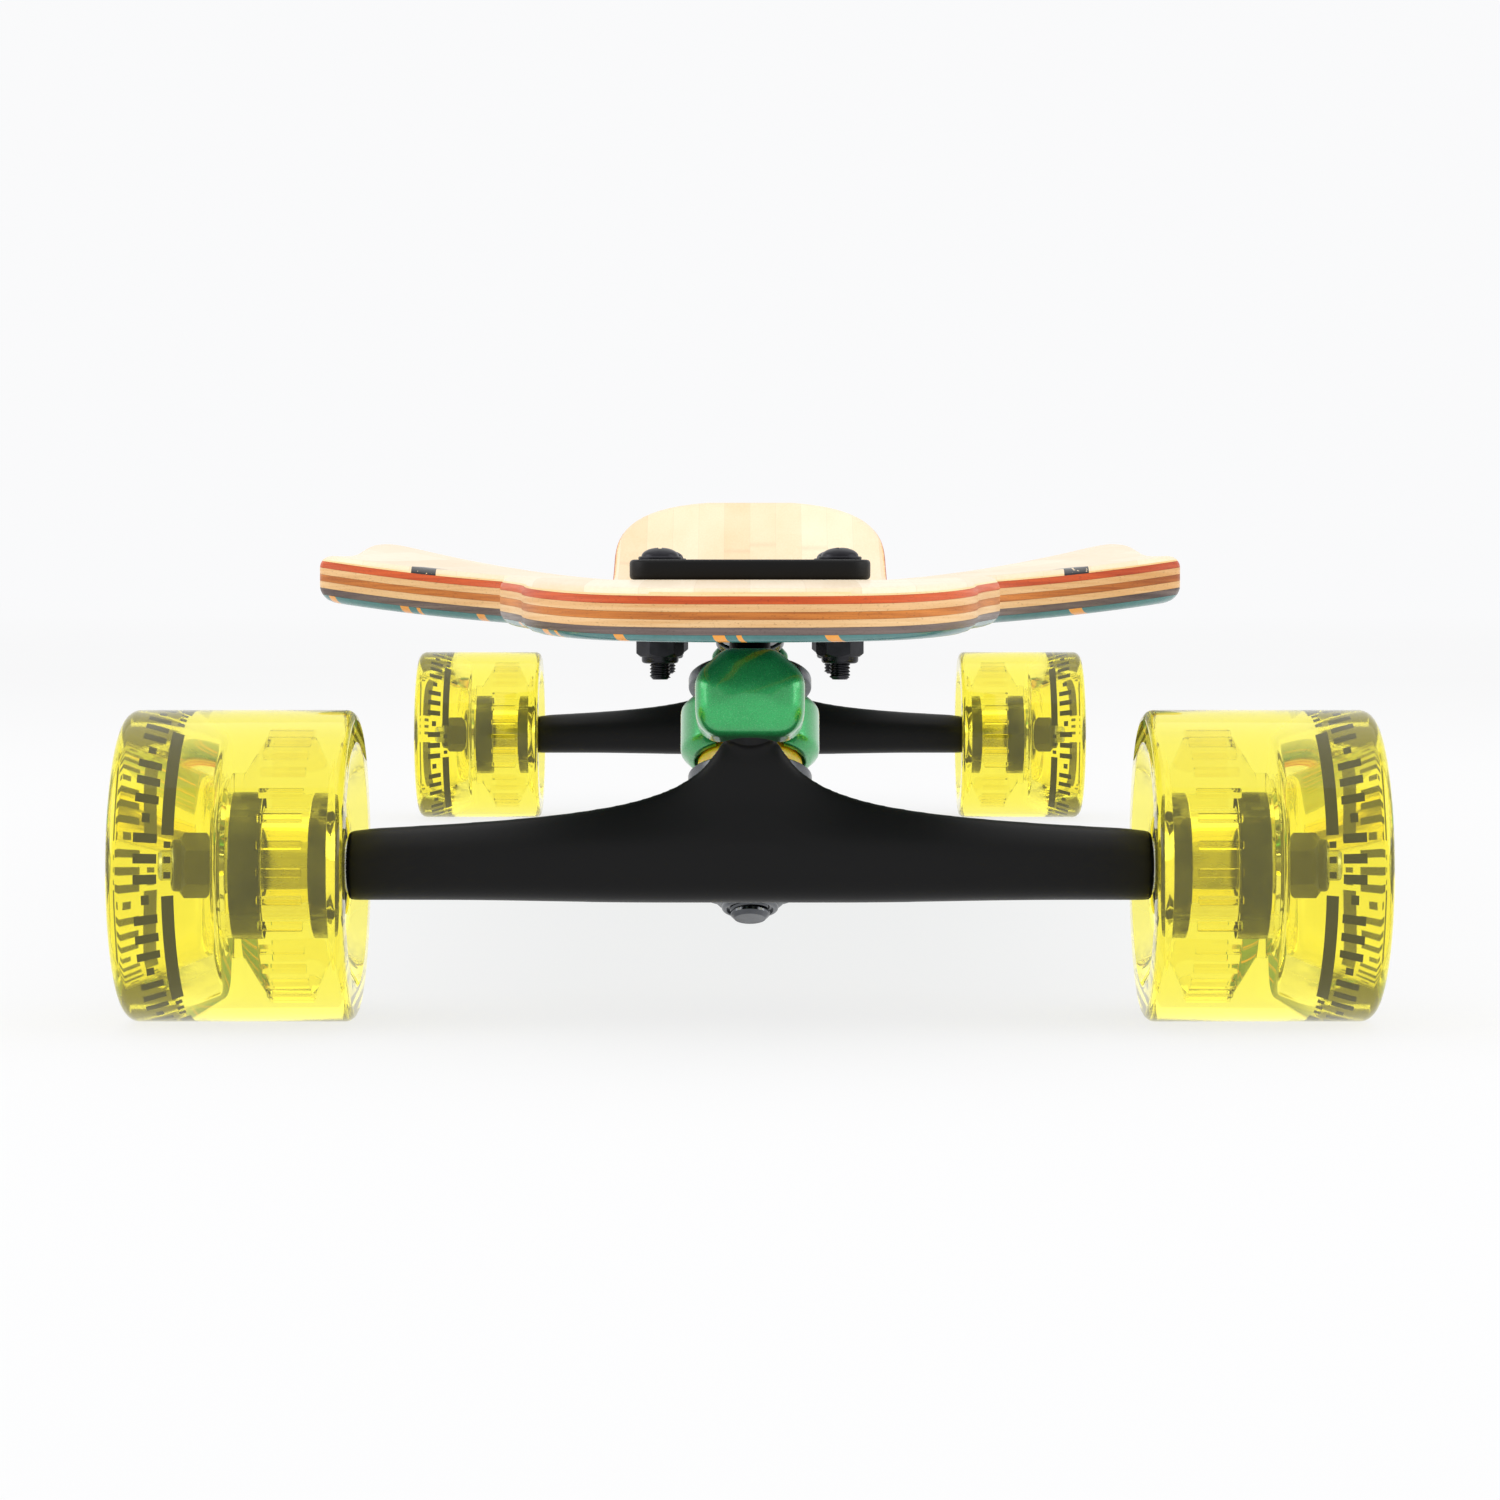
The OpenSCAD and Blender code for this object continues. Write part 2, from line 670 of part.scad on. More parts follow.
module axle(side) {
    color("#9a9da1") at_truck(side) {
        along_x(hanger_w / 2 + nut_end) cylinder(r = axle_d / 2, h = hanger_w + 2 * nut_end);
        along_x(hanger_w / 2 + axle_end) cylinder(r = axle_tip_d / 2, h = hanger_w + 2 * axle_end);
    }
}

module both_hubs(side) for (hand = ["left", "right"]) at_hub(side, hand) children();

module inner_races(side) {
    color("#b4b7ba") both_hubs(side) for (at = [bearing1, bearing2]) translate([0, 0, at]) difference() {
        tube(race_in_r, axle_d / 2, bearing_w);
        ball_groove();
    }
}

module ball_groove() {
    translate([0, 0, bearing_w / 2]) rotate_extrude() translate([ball_ring, 0]) circle(r = ball_r + ball_gap);
}

module spacers(side) {
    color("#b4b7ba") both_hubs(side) translate([0, 0, bearing1 + bearing_w])
        tube(spacer_r, axle_d / 2, spacer_w);
}

module speed_washers(side) {
    color("#c9cbcd") both_hubs(side) for (at = [0, washer_out]) translate([0, 0, at])
        tube(race_in_r, axle_d / 2, speed_t);
}

module axle_nuts(side) {
    color("#6f7377") both_hubs(side) translate([0, 0, nut_at]) difference() {
        union() {
            hexagon(axle_nut_af, axle_nut_t - 1.8);
            cylinder(r1 = axle_nut_af / 2 - 0.2, r2 = axle_nut_af / 2 - 1, h = axle_nut_t);
        }
        translate([0, 0, -over]) cylinder(r = axle_d / 2, h = axle_nut_t + 2 * over);
    }
}

// ---- Wheels --------------------------------------------------------------

core_from = bearing1 - core_lip;
core_to = washer_out + core_lip;
core_mid = (core_from + core_to) / 2;
wheel_from = -wheel_inset;
wheel_to = wheel_w - wheel_inset;

// Outside of the core, shared by the core and by the tyre's cavity
module core_outside() {
    rotate_extrude() polygon([
        [0, core_from],
        [core_hub_r, core_from],
        [core_hub_r, core_mid - core_disc_t],
        [core_disc_r, core_mid - core_disc_t / 2],
        [core_disc_r, core_mid + core_disc_t / 2],
        [core_hub_r, core_mid + core_disc_t],
        [core_hub_r, core_to],
        [0, core_to]
    ]);
}

module tyre(side, hand) {
    color("#f2dc3a") at_hub(side, hand) difference() {
        rotate_extrude() union() {
            translate([0, wheel_from + lip_in]) square([wheel_d / 2, wheel_w - lip_in - lip_out]);
            translate([0, wheel_from]) square([wheel_d / 2 - lip_in, wheel_w]);
            translate([wheel_d / 2 - lip_in, wheel_from + lip_in]) circle(r = lip_in);
            intersection() {
                translate([wheel_d / 2 - lip_out, wheel_to - lip_out]) circle(r = lip_out);
                translate([wheel_d / 2 - lip_out, wheel_to - lip_out]) square(lip_out + over);
            }
            translate([0, wheel_to - lip_out - over]) square([wheel_d / 2 - lip_out, lip_out + over]);
        }
        dish(wheel_from, dish_in, 1);
        dish(wheel_to, dish_out, -1);
        core_outside();
        translate([0, 0, wheel_from - over]) cylinder(r = core_hub_r - core_wall, h = wheel_w + 2 * over);
    }
}

// The sloped hollow in one face of the tyre
module dish(at, depth, inwards) {
    translate([0, 0, at]) mirror([0, 0, inwards < 0 ? 1 : 0]) translate([0, 0, -over])
        rotate_extrude() polygon([
            [0, 0],
            [face_r + dish_flare, 0],
            [face_r, over],
            [core_hub_r + core_step, over + depth],
            [0, over + depth]
        ]);
}

module core(side, hand) {
    color("#efe9c8") at_hub(side, hand) difference() {
        core_outside();
        translate([0, 0, core_from - over]) cylinder(r = flange_in_r, h = core_to - core_from + 2 * over);
        translate([0, 0, core_from - over]) cylinder(r = bearing_r, h = core_lip + bearing_w + over);
        translate([0, 0, bearing2]) cylinder(r = bearing_r, h = core_lip + bearing_w + over);
    }
}

module bearings(side, hand) {
    color("#55585b") at_hub(side, hand) for (at = [bearing1, bearing2]) translate([0, 0, at]) {
        difference() {
            union() {
                tube(bearing_r, race_out_r, bearing_w);
                for (face = [shield_in, bearing_w - shield_in - shield_t]) translate([0, 0, face])
                    tube(race_out_r + bushing_gap, race_in_r + shield_in, shield_t);
            }
            ball_groove();
        }
        translate([0, 0, bearing_w / 2]) for (i = [0 : ball_count - 1])
            rotate([0, 0, 360 * i / ball_count]) translate([ball_ring, 0, 0]) sphere(r = ball_r);
    }
}

// ---- Drawing -------------------------------------------------------------

module truck_nodes(side) {
    baseplate(side);
    deck_bolts(side);
    deck_nuts(side);
    upper_kingpin(side);
    upper_kingpin_nut(side);
    upper_washers(side);
    upper_bushings(side);
    upper_pivot_cup(side);
    link(side);
    lower_kingpin(side);
    lower_kingpin_nut(side);
    lower_washers(side);
    lower_bushings(side);
    lower_pivot_cup(side);
    hanger(side);
    axle(side);
    inner_races(side);
    spacers(side);
    speed_washers(side);
    axle_nuts(side);
}

module wheel_nodes(side, hand) {
    tyre(side, hand);
    core(side, hand);
    bearings(side, hand);
}

color("#f2dfb4") ply(0);  // top_veneer
color("#d9773c") ply(1);  // ply_2
color("#e9c08c") ply(2);  // ply_3
color("#c06a34") ply(3);  // ply_4
color("#ecc799") ply(4);  // ply_5
color("#6f625c") ply(5);  // ply_6
color("#3f7c7a") ply(6);  // bottom_veneer
deck_washers();
for (side = ["front", "rear"]) {
    truck_nodes(side);
    for (hand = ["left", "right"]) wheel_nodes(side, hand);
}
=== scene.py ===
# %% [markdown]
# # A drop-through longboard
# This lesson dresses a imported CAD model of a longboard: a seven-ply deck, two
# double-kingpin trucks and four see-through wheels. The CAD holds every size and
# joint, so nothing here moves a part. Each piece is modelled again with finer
# edges, fillets and threads, rides on the CAD body that it belongs to, and gets a
# finish made of shader nodes.

import json
import math

import bmesh
import bpy
from mathutils import Matrix, Vector


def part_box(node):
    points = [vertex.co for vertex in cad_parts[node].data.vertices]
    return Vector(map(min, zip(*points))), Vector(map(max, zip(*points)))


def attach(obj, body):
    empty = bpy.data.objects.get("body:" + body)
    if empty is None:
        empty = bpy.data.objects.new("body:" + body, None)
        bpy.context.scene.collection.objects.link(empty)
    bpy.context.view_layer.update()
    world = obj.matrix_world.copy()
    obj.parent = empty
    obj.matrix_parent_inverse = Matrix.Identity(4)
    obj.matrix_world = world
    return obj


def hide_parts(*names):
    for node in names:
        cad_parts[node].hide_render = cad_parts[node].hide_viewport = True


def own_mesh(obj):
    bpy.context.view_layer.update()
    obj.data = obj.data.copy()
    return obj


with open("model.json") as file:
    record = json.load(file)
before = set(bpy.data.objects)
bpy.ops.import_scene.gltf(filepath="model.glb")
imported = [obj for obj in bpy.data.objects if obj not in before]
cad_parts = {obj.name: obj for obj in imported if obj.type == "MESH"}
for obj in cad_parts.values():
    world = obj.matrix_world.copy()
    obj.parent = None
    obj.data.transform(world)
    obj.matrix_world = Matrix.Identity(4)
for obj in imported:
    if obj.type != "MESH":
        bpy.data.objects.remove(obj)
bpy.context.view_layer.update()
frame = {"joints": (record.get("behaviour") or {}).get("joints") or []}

# %% [markdown]
# ## Places taken from the frame
# The two axles, the lean of the kingpins and the size of the wheels are read from
# the joints and from the boxes of the CAD nodes, so that the looks follow the
# design. Truck parts are modelled in millimetres in the truck's own frame, whose
# origin is the middle of the axle and whose +Y points to the middle of the board.
# The rear truck is the same shape mirrored.

# %% Axles, lean and the truck frames
MM = 0.001
joints = {joint["name"]: joint for joint in frame["joints"]}
SIDES = ("front", "rear")
HANDS = ("left", "right")
axle_y = {side: joints[f"{side}_left_spin"]["pos_m"][1] / MM for side in SIDES}
AXLE_Z = joints["front_left_spin"]["pos_m"][2] / MM
upper_axis = Vector(joints["front_upper_lean"]["axis"])
lower_axis = Vector(joints["front_lower_lean"]["axis"])
LEAN = math.atan2(-upper_axis.z, upper_axis.y)
LEAN_2 = math.atan2(-lower_axis.z, lower_axis.y)
HANGER_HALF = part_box("front_hanger")[1].x / MM
WHEEL_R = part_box("front_left_tyre")[1].z / MM / 2
WHEEL_FROM = -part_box("front_left_tyre")[1].x / MM - HANGER_HALF
WHEEL_TO = -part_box("front_left_tyre")[0].x / MM - HANGER_HALF
DECK_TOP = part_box("front_deck_bolts")[1].z / MM - 2.8 - 4.6


def truck_frame(side):
    """From a truck's own millimetres to the row frame's metres."""
    flip = 1 if side == "front" else -1
    place = Matrix.Translation((0, axle_y[side] * MM, AXLE_Z * MM))
    return place @ Matrix.Diagonal((MM, flip * MM, MM, 1))


def hub_frame(side, hand):
    """From a wheel's own millimetres, +Z outwards from the end of the hanger."""
    mirror = Matrix.Diagonal((-1 if hand == "left" else 1, 1, 1, 1))
    outwards = Matrix.Rotation(math.radians(90), 4, "Y")
    return truck_frame(side) @ mirror @ Matrix.Translation((HANGER_HALF, 0, 0)) @ outwards


LEANING = Matrix.Rotation(-LEAN, 4, "X")
print("axles at", axle_y, "lean", round(math.degrees(LEAN), 2), round(math.degrees(LEAN_2), 2))

# %% [markdown]
# ## Camera, floor and light
# The board is seen from in front of the nose, a hand's height above the floor,
# with a long lens. A photographer would stand it on a white sweep under one wide
# soft light, with white walls all round, so the world is an even white, the floor
# is pale, and large lamps above and beside give the black castings their sheen.

# %% Camera
camera_data = bpy.data.cameras.new("camera")
camera_data.sensor_width = 36
camera_data.lens = 96.3
camera = bpy.data.objects.new("camera", camera_data)
camera.location = (0, (axle_y["front"] - 900) * MM, 0.0976)
camera.rotation_euler = (math.radians(90 - 2.33), 0, 0)
bpy.context.scene.collection.objects.link(camera)
bpy.context.scene.camera = camera
bpy.context.scene.view_settings.view_transform = "Standard"
print("camera at", [round(v, 3) for v in camera.location])


# %% Lamps and the white world
def soft_lamp(name, place, aim, size, power):
    """A square area lamp at a place, aimed at a point."""
    data = bpy.data.lights.new(name, "AREA")
    data.shape = "RECTANGLE"
    data.size, data.size_y = size
    data.energy = power
    lamp = bpy.data.objects.new(name, data)
    lamp.location = place
    lamp.rotation_euler = (Vector(aim) - Vector(place)).to_track_quat("-Z", "Y").to_euler()
    bpy.context.scene.collection.objects.link(lamp)


soft_lamp("overhead", (0, 0, 1.9), (0, 0, 0), (2.6, 2.8), 13)
soft_lamp("left_side", (-1.7, -0.6, 0.7), (0, -0.3, 0.05), (1.2, 1.0), 7)
soft_lamp("right_side", (1.7, -0.6, 0.7), (0, -0.3, 0.05), (1.2, 1.0), 7)
world = bpy.data.worlds.new("white_room")
world.use_nodes = True
world.node_tree.nodes["Background"].inputs["Color"].default_value = (0.955, 0.957, 0.965, 1)
world.node_tree.nodes["Background"].inputs["Strength"].default_value = 1.0
bpy.context.scene.world = world

# %% [markdown]
# ## Shader arithmetic
# A finish is a small network of nodes. Written by hand, each sum of two values is
# a node and two links, which hides the idea. The class below wraps a socket, so
# that ordinary Python sums add the Math nodes, and one method makes every other
# node from its type, its settings and its inputs.


# %% Wire and Finish
class Wire:
    """A value that flows through a finish's nodes, with Python's own operators."""

    def __init__(self, finish, socket):
        self.finish = finish
        self.socket = socket

    def maths(self, operation, *others):
        values = dict(enumerate((self, *others)))
        return self.finish.node("Math", {"operation": operation}, values)

    def __add__(self, other):
        return self.maths("ADD", other)

    def __sub__(self, other):
        return self.maths("SUBTRACT", other)

    def __rsub__(self, other):
        return self.finish.node("Math", {"operation": "SUBTRACT"}, {0: other, 1: self})

    def __mul__(self, other):
        return self.maths("MULTIPLY", other)

    def __truediv__(self, other):
        return self.maths("DIVIDE", other)

    def __lt__(self, other):
        return self.maths("LESS_THAN", other)

    def __gt__(self, other):
        return self.maths("GREATER_THAN", other)

    __radd__ = __add__
    __rmul__ = __mul__


class Finish:
    """One material: a Principled shader whose sockets are fed by nodes."""

    def __init__(self, name, **constants):
        self.material = bpy.data.materials.new(name)
        self.material.use_nodes = True
        self.tree = self.material.node_tree
        self.tree.nodes.clear()
        self.output = self.tree.nodes.new("ShaderNodeOutputMaterial")
        self.shader = self.tree.nodes.new("ShaderNodeBsdfPrincipled")
        self.tree.links.new(self.shader.outputs[0], self.output.inputs["Surface"])
        for socket, value in constants.items():
            self.shader.inputs[socket.replace("_", " ")].default_value = value

    def node(self, kind, settings=None, sockets=None, out=0):
        """Any node: its type, its settings first, then values or wires for its sockets."""
        made = self.tree.nodes.new("ShaderNode" + kind)
        for key, value in (settings or {}).items():
            setattr(made, key, value)
        for key, value in (sockets or {}).items():
            self.feed(made.inputs[key], value)
        return Wire(self, made.outputs[out])

    def feed(self, socket, value):
        if isinstance(value, Wire):
            self.tree.links.new(value.socket, socket)
        else:
            socket.default_value = value

    def set(self, **wires):
        for name, value in wires.items():
            self.feed(self.shader.inputs[name.replace("_", " ")], value)
        return self

    def place(self, scale=(1, 1, 1), turn=(0, 0, 0), move=(0, 0, 0)):
        """The object's own coordinates in metres, moved, turned and stretched."""
        coordinates = self.node("TexCoord", out="Object")
        settings = {"Vector": coordinates, "Location": move, "Rotation": turn, "Scale": scale}
        return self.node("Mapping", None, settings)

    def axes(self, where):
        """The X, Y and Z of a position, as three wires."""
        split = self.node("SeparateXYZ", None, {0: where})
        return [Wire(self, split.socket.node.outputs[i]) for i in range(3)]

    def noise(self, where, scale, detail=3, roughness=0.5, distortion=0):
        sockets = {"Vector": where, "Scale": scale, "Detail": detail}
        sockets.update({"Roughness": roughness, "Distortion": distortion})
        return self.node("TexNoise", None, sockets)

    def spread(self, value, low, high, to_low=0.0, to_high=1.0):
        """Stretch a value's range to another one, clamped."""
        return self.node("MapRange", None, {0: value, 1: low, 2: high, 3: to_low, 4: to_high})

    def tint(self, share, first, second, mode="MIX"):
        """Blend two colours by a share."""
        sockets = {0: share, 6: first, 7: second}
        return self.node("Mix", {"data_type": "RGBA", "blend_type": mode}, sockets, out=2)

    def bump(self, height, strength, distance):
        sockets = {"Height": height, "Strength": strength, "Distance": distance}
        return self.set(Normal=self.node("Bump", None, sockets))


def rgb(red, green, blue):
    """A colour given as it looks on a screen, from 0 to 255, made linear."""
    linear = [(v / 255 / 12.92) if v < 11 else ((v / 255 + 0.055) / 1.055) ** 2.4 for v in (red, green, blue)]
    return (*linear, 1.0)


print("finish tools ready")

# %% [markdown]
# ## Modelling helpers
# Turned parts such as wheels, washers and bearings are made on a lathe: an outline
# of radius and height is spun once round Z. Plates are a face pulled up to a
# thickness. Holes are carved with a second closed shape. An outline's round
# corners are arcs worked out from a radius, as on a drawing.


# %% Outlines, lathe and plate
def rounded(*corners, steps=5):
    """A closed outline from corners (x, y) or (x, y, radius): a radius makes an arc."""
    outline = []
    for index, corner in enumerate(corners):
        here = Vector(corner[:2])
        if len(corner) == 2:
            outline.append(here)
            continue
        back = (Vector(corners[index - 1][:2]) - here).normalized()
        ahead = (Vector(corners[(index + 1) % len(corners)][:2]) - here).normalized()
        half = back.angle(ahead) / 2
        centre = here + (back + ahead).normalized() * corner[2] / math.sin(half)
        reach = corner[2] / math.tan(half)
        start, stop = here + back * reach - centre, here + ahead * reach - centre
        first = math.atan2(start.y, start.x)
        sweep = (math.atan2(stop.y, stop.x) - first + math.pi) % (2 * math.pi) - math.pi
        for step in range(steps + 1):
            angle = first + sweep * step / steps
            outline.append(centre + corner[2] * Vector((math.cos(angle), math.sin(angle))))
    return outline


def lathe(outline, steps=96, ring=True):
    """Spin an outline of (radius, height) round Z. Without ring it starts and ends on the axis."""
    shape = bmesh.new()
    points = [shape.verts.new((point[0], 0, point[1])) for point in outline]
    pairs = list(zip(points, points[1:])) + ([(points[-1], points[0])] if ring else [])
    edges = [shape.edges.new(pair) for pair in pairs]
    bmesh.ops.spin(
        shape, geom=points + edges, axis=(0, 0, 1), cent=(0, 0, 0), dvec=(0, 0, 0),
        angle=2 * math.pi, steps=steps, use_merge=True, use_duplicate=False,
    )
    bmesh.ops.remove_doubles(shape, verts=shape.verts, dist=1e-4)
    bmesh.ops.recalc_face_normals(shape, faces=shape.faces)
    return shape


def plate(outline, height):
    """A flat outline pulled up into a plate."""
    shape = bmesh.new()
    face = shape.faces.new([shape.verts.new((point[0], point[1], 0)) for point in outline])
    pulled = bmesh.ops.extrude_face_region(shape, geom=[face])["geom"]
    raised = [item for item in pulled if isinstance(item, bmesh.types.BMVert)]
    bmesh.ops.translate(shape, vec=(0, 0, height), verts=raised)
    bmesh.ops.recalc_face_normals(shape, faces=shape.faces)
    return shape


def moved(shape, *steps):
    """The shape after these transforms, the last one first."""
    place = Matrix.Identity(4)
    for step in steps:
        place = place @ step
    bmesh.ops.transform(shape, matrix=place, verts=shape.verts)
    if place.determinant() < 0:
        bmesh.ops.reverse_faces(shape, faces=shape.faces)
    return shape


def soften(shape, width, segments=3, angle=35):
    """Round the edges that turn more sharply than an angle."""
    limit = math.radians(angle)
    sharp = [edge for edge in shape.edges if edge.is_manifold and edge.calc_face_angle(0) > limit]
    bmesh.ops.bevel(
        shape, geom=sharp, offset=width, offset_type="OFFSET", segments=segments,
        profile=0.5, affect="EDGES", material=-1, clamp_overlap=True,
    )
    return shape


def joined(*shapes):
    """Several shapes as one."""
    whole = bmesh.new()
    for shape in shapes:
        mesh = bpy.data.meshes.new("part")
        shape.to_mesh(mesh)
        shape.free()
        whole.from_mesh(mesh)
        bpy.data.meshes.remove(mesh)
    return whole


print("outline of a rounded square has", len(rounded((0, 0, 1), (9, 0, 1), (9, 9, 1), (0, 9, 1))), "points")


# %% Carving and casting
def loose_object(shape, name):
    mesh = bpy.data.meshes.new(name)
    shape.to_mesh(mesh)
    shape.free()
    made = bpy.data.objects.new(name, mesh)
    bpy.context.scene.collection.objects.link(made)
    return made


def baked(*objects):
    """The first object's mesh with its modifiers applied, as a shape. The objects are removed."""
    graph = bpy.context.evaluated_depsgraph_get()
    mesh = bpy.data.meshes.new_from_object(objects[0].evaluated_get(graph))
    shape = bmesh.new()
    shape.from_mesh(mesh)
    for item in objects:
        bpy.data.objects.remove(item)
    bpy.data.meshes.remove(mesh)
    return shape


def carve(shape, tool, operation="DIFFERENCE"):
    """Cut one closed shape with another, or keep what they share or hold together."""
    body, cutter = loose_object(shape, "body"), loose_object(tool, "cutter")
    modifier = body.modifiers.new("carve", "BOOLEAN")
    modifier.operation = operation
    modifier.solver = "EXACT"
    modifier.use_self = operation == "UNION"
    modifier.object = cutter
    return baked(body, cutter)


def cast(shape, grain, smoothing):
    """Melt overlapping shapes into one casting, with fillets where they meet."""
    body = loose_object(shape, "pattern")
    remesh = body.modifiers.new("melt", "REMESH")
    remesh.mode = "VOXEL"
    remesh.voxel_size = grain
    smooth = body.modifiers.new("polish", "SMOOTH")
    smooth.factor = 0.5
    smooth.iterations = smoothing
    return baked(body)


# %% [markdown]
# ### Screws and nuts
# A thread is one tooth's outline spun round the axis while it climbs by its pitch.
# Neighbouring turns share their edges, so they merge into one skin, which is then
# sliced flat at both ends and closed. A nut is what a hexagon and a turned barrel
# share, which gives its corners their curved chamfers.


# %% Thread and hexagon
def thread(radius, pitch, length, depth=0.45, steps=28):
    """A screw thread of a length along +Z, closed at both ends."""
    shape = bmesh.new()
    tooth = [(-depth, 0), (-depth, 0.12), (0, 0.46), (0, 0.58), (-depth, 0.92), (-depth, 1)]
    points = [shape.verts.new((radius + dip, 0, (share - 1.5) * pitch)) for dip, share in tooth]
    edges = [shape.edges.new(pair) for pair in zip(points, points[1:])]
    turns = math.ceil(length / pitch) + 3
    bmesh.ops.spin(
        shape, geom=points + edges, axis=(0, 0, 1), cent=(0, 0, 0), dvec=(0, 0, pitch / steps),
        angle=2 * math.pi * turns, steps=steps * turns, use_merge=False, use_duplicate=False,
    )
    bmesh.ops.remove_doubles(shape, verts=shape.verts, dist=pitch / 200)
    for height, up in ((0, -1), (length, 1)):
        everything = shape.verts[:] + shape.edges[:] + shape.faces[:]
        bmesh.ops.bisect_plane(
            shape, geom=everything, plane_co=(0, 0, height), plane_no=(0, 0, up), clear_outer=True,
        )
        rim = [edge for edge in shape.edges if edge.is_boundary]
        flat = [e for e in rim if all(abs(v.co.z - height) < 1e-5 for v in e.verts)]
        bmesh.ops.holes_fill(shape, edges=flat, sides=0)
    bmesh.ops.recalc_face_normals(shape, faces=shape.faces)
    return shape


def hexagon(across, height, chamfer=0.9, top=True, bottom=True):
    """A hexagonal head or nut with turned chamfers, standing on Z 0."""
    corner = across / 2 / math.cos(math.radians(30))
    prism = plate([Vector((corner * math.cos(a), corner * math.sin(a))) for a in (math.radians(60 * i) for i in range(6))], height)
    flat = across / 2 * 0.96
    low = [(0, 0), (flat, 0), (corner + 0.1, chamfer)] if bottom else [(0, 0), (corner + 0.1, 0)]
    high = [(corner + 0.1, height - chamfer), (flat, height), (0, height)] if top else [(corner + 0.1, height), (0, height)]
    return carve(prism, lathe(low + high, 48, ring=False), "INTERSECT")


print("helpers ready")


# %% Finishing a piece
def finished(shape, name, body, material, place, nodes=(), crease=32):
    """Place a shape, make it an object with smooth shading, and tie it to its CAD body."""
    moved(shape, place)
    mesh = bpy.data.meshes.new(name)
    shape.to_mesh(mesh)
    shape.free()
    mesh.shade_smooth()
    mesh.set_sharp_from_angle(angle=math.radians(crease))
    for item in material if isinstance(material, (list, tuple)) else [material]:
        mesh.materials.append(item)
    piece = bpy.data.objects.new(name, mesh)
    bpy.context.scene.collection.objects.link(piece)
    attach(piece, body)
    if nodes:
        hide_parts(*nodes)
    return piece


floor_finish = Finish("white_sweep", Roughness=0.6, Specular_IOR_Level=0, Emission_Strength=0.77)
grain = floor_finish.noise(floor_finish.place(), 1.3, 2)
reach = floor_finish.node("VectorMath", {"operation": "LENGTH"}, {0: floor_finish.place()}, out="Value")
far = floor_finish.spread(reach, 3, 12)
paper = floor_finish.tint(grain, (0.165, 0.165, 0.167, 1), (0.175, 0.175, 0.178, 1))
floor_finish.set(Base_Color=floor_finish.tint(far, paper, (1, 1, 1, 1)))
floor_finish.set(Emission_Color=floor_finish.tint(far, (1, 1, 1, 1), (0, 0, 0, 1)))
sweep = bmesh.new()
bmesh.ops.create_grid(sweep, x_segments=2, y_segments=2, size=30)
floor = loose_object(sweep, "floor")
floor.data.materials.append(floor_finish.material)
print("floor laid")

# %% [markdown]
# ## Wood
# The deck is a sandwich. Its top is a lacquered bamboo veneer, made of narrow
# strips with a hair-fine grain along the board and darker knuckles now and then.
# The cores are stained maple sheets, of which only the sawn edge shows, and the
# bottom sheet is stained teal with thin orange stripes. On the sawn edge the grain
# shows as short streaks, so its pattern is squeezed in height.


# %% Bamboo and ply finishes
def sawn_edge(finish, pale, dark):
    """Streaks along a sawn ply edge, and a few open pores."""
    streaks = finish.noise(finish.place((1, 1, 26)), 42, 5, 0.62)
    drift = finish.noise(finish.place(), 15, 2)
    pores = finish.spread(finish.noise(finish.place((1, 1, 2.2)), 1500, 2), 0.6, 0.72)
    share = finish.spread(streaks * 0.62 + drift * 0.38, 0.36, 0.64)
    colour = finish.tint(share, pale, dark)
    deep = finish.tint(pores * 0.35, colour, tuple(v * 0.35 for v in dark[:3]) + (1,))
    finish.bump(streaks - pores * 0.6, 0.25, 0.0003)
    finish.set(Roughness=finish.spread(streaks, 0.3, 0.7, 0.34, 0.5))
    return deep


def ink_marks(finish):
    """A brushed bar and a thin line, printed near both wings of the nose and the tail."""
    x, y, z = finish.axes(finish.place())
    bar_x = (x.maths("ABSOLUTE") - 0.077).maths("ABSOLUTE") < 0.003
    along = abs(axle_y["front"]) * MM - 0.063
    bar_y = (y.maths("ABSOLUTE") - along).maths("ABSOLUTE") < 0.022
    ragged = finish.noise(finish.place((1, 0.05, 1)), 900, 3) > 0.34
    hair_x = (x.maths("ABSOLUTE") - 0.0735).maths("ABSOLUTE") < 0.0075
    hair_y = (y.maths("ABSOLUTE") - along + 0.022).maths("ABSOLUTE") < 0.0012
    return (bar_x * ragged * bar_y).maths("MAXIMUM", hair_x * hair_y)


INK_BLACK = rgb(26, 25, 27)


def ply_finish(name, pale, dark, inked=False):
    finish = Finish(name, Specular_IOR_Level=0.35)
    wood = sawn_edge(finish, pale, dark)
    if inked:
        wood = finish.tint(ink_marks(finish), wood, INK_BLACK)
    finish.set(Base_Color=wood)
    return finish.material


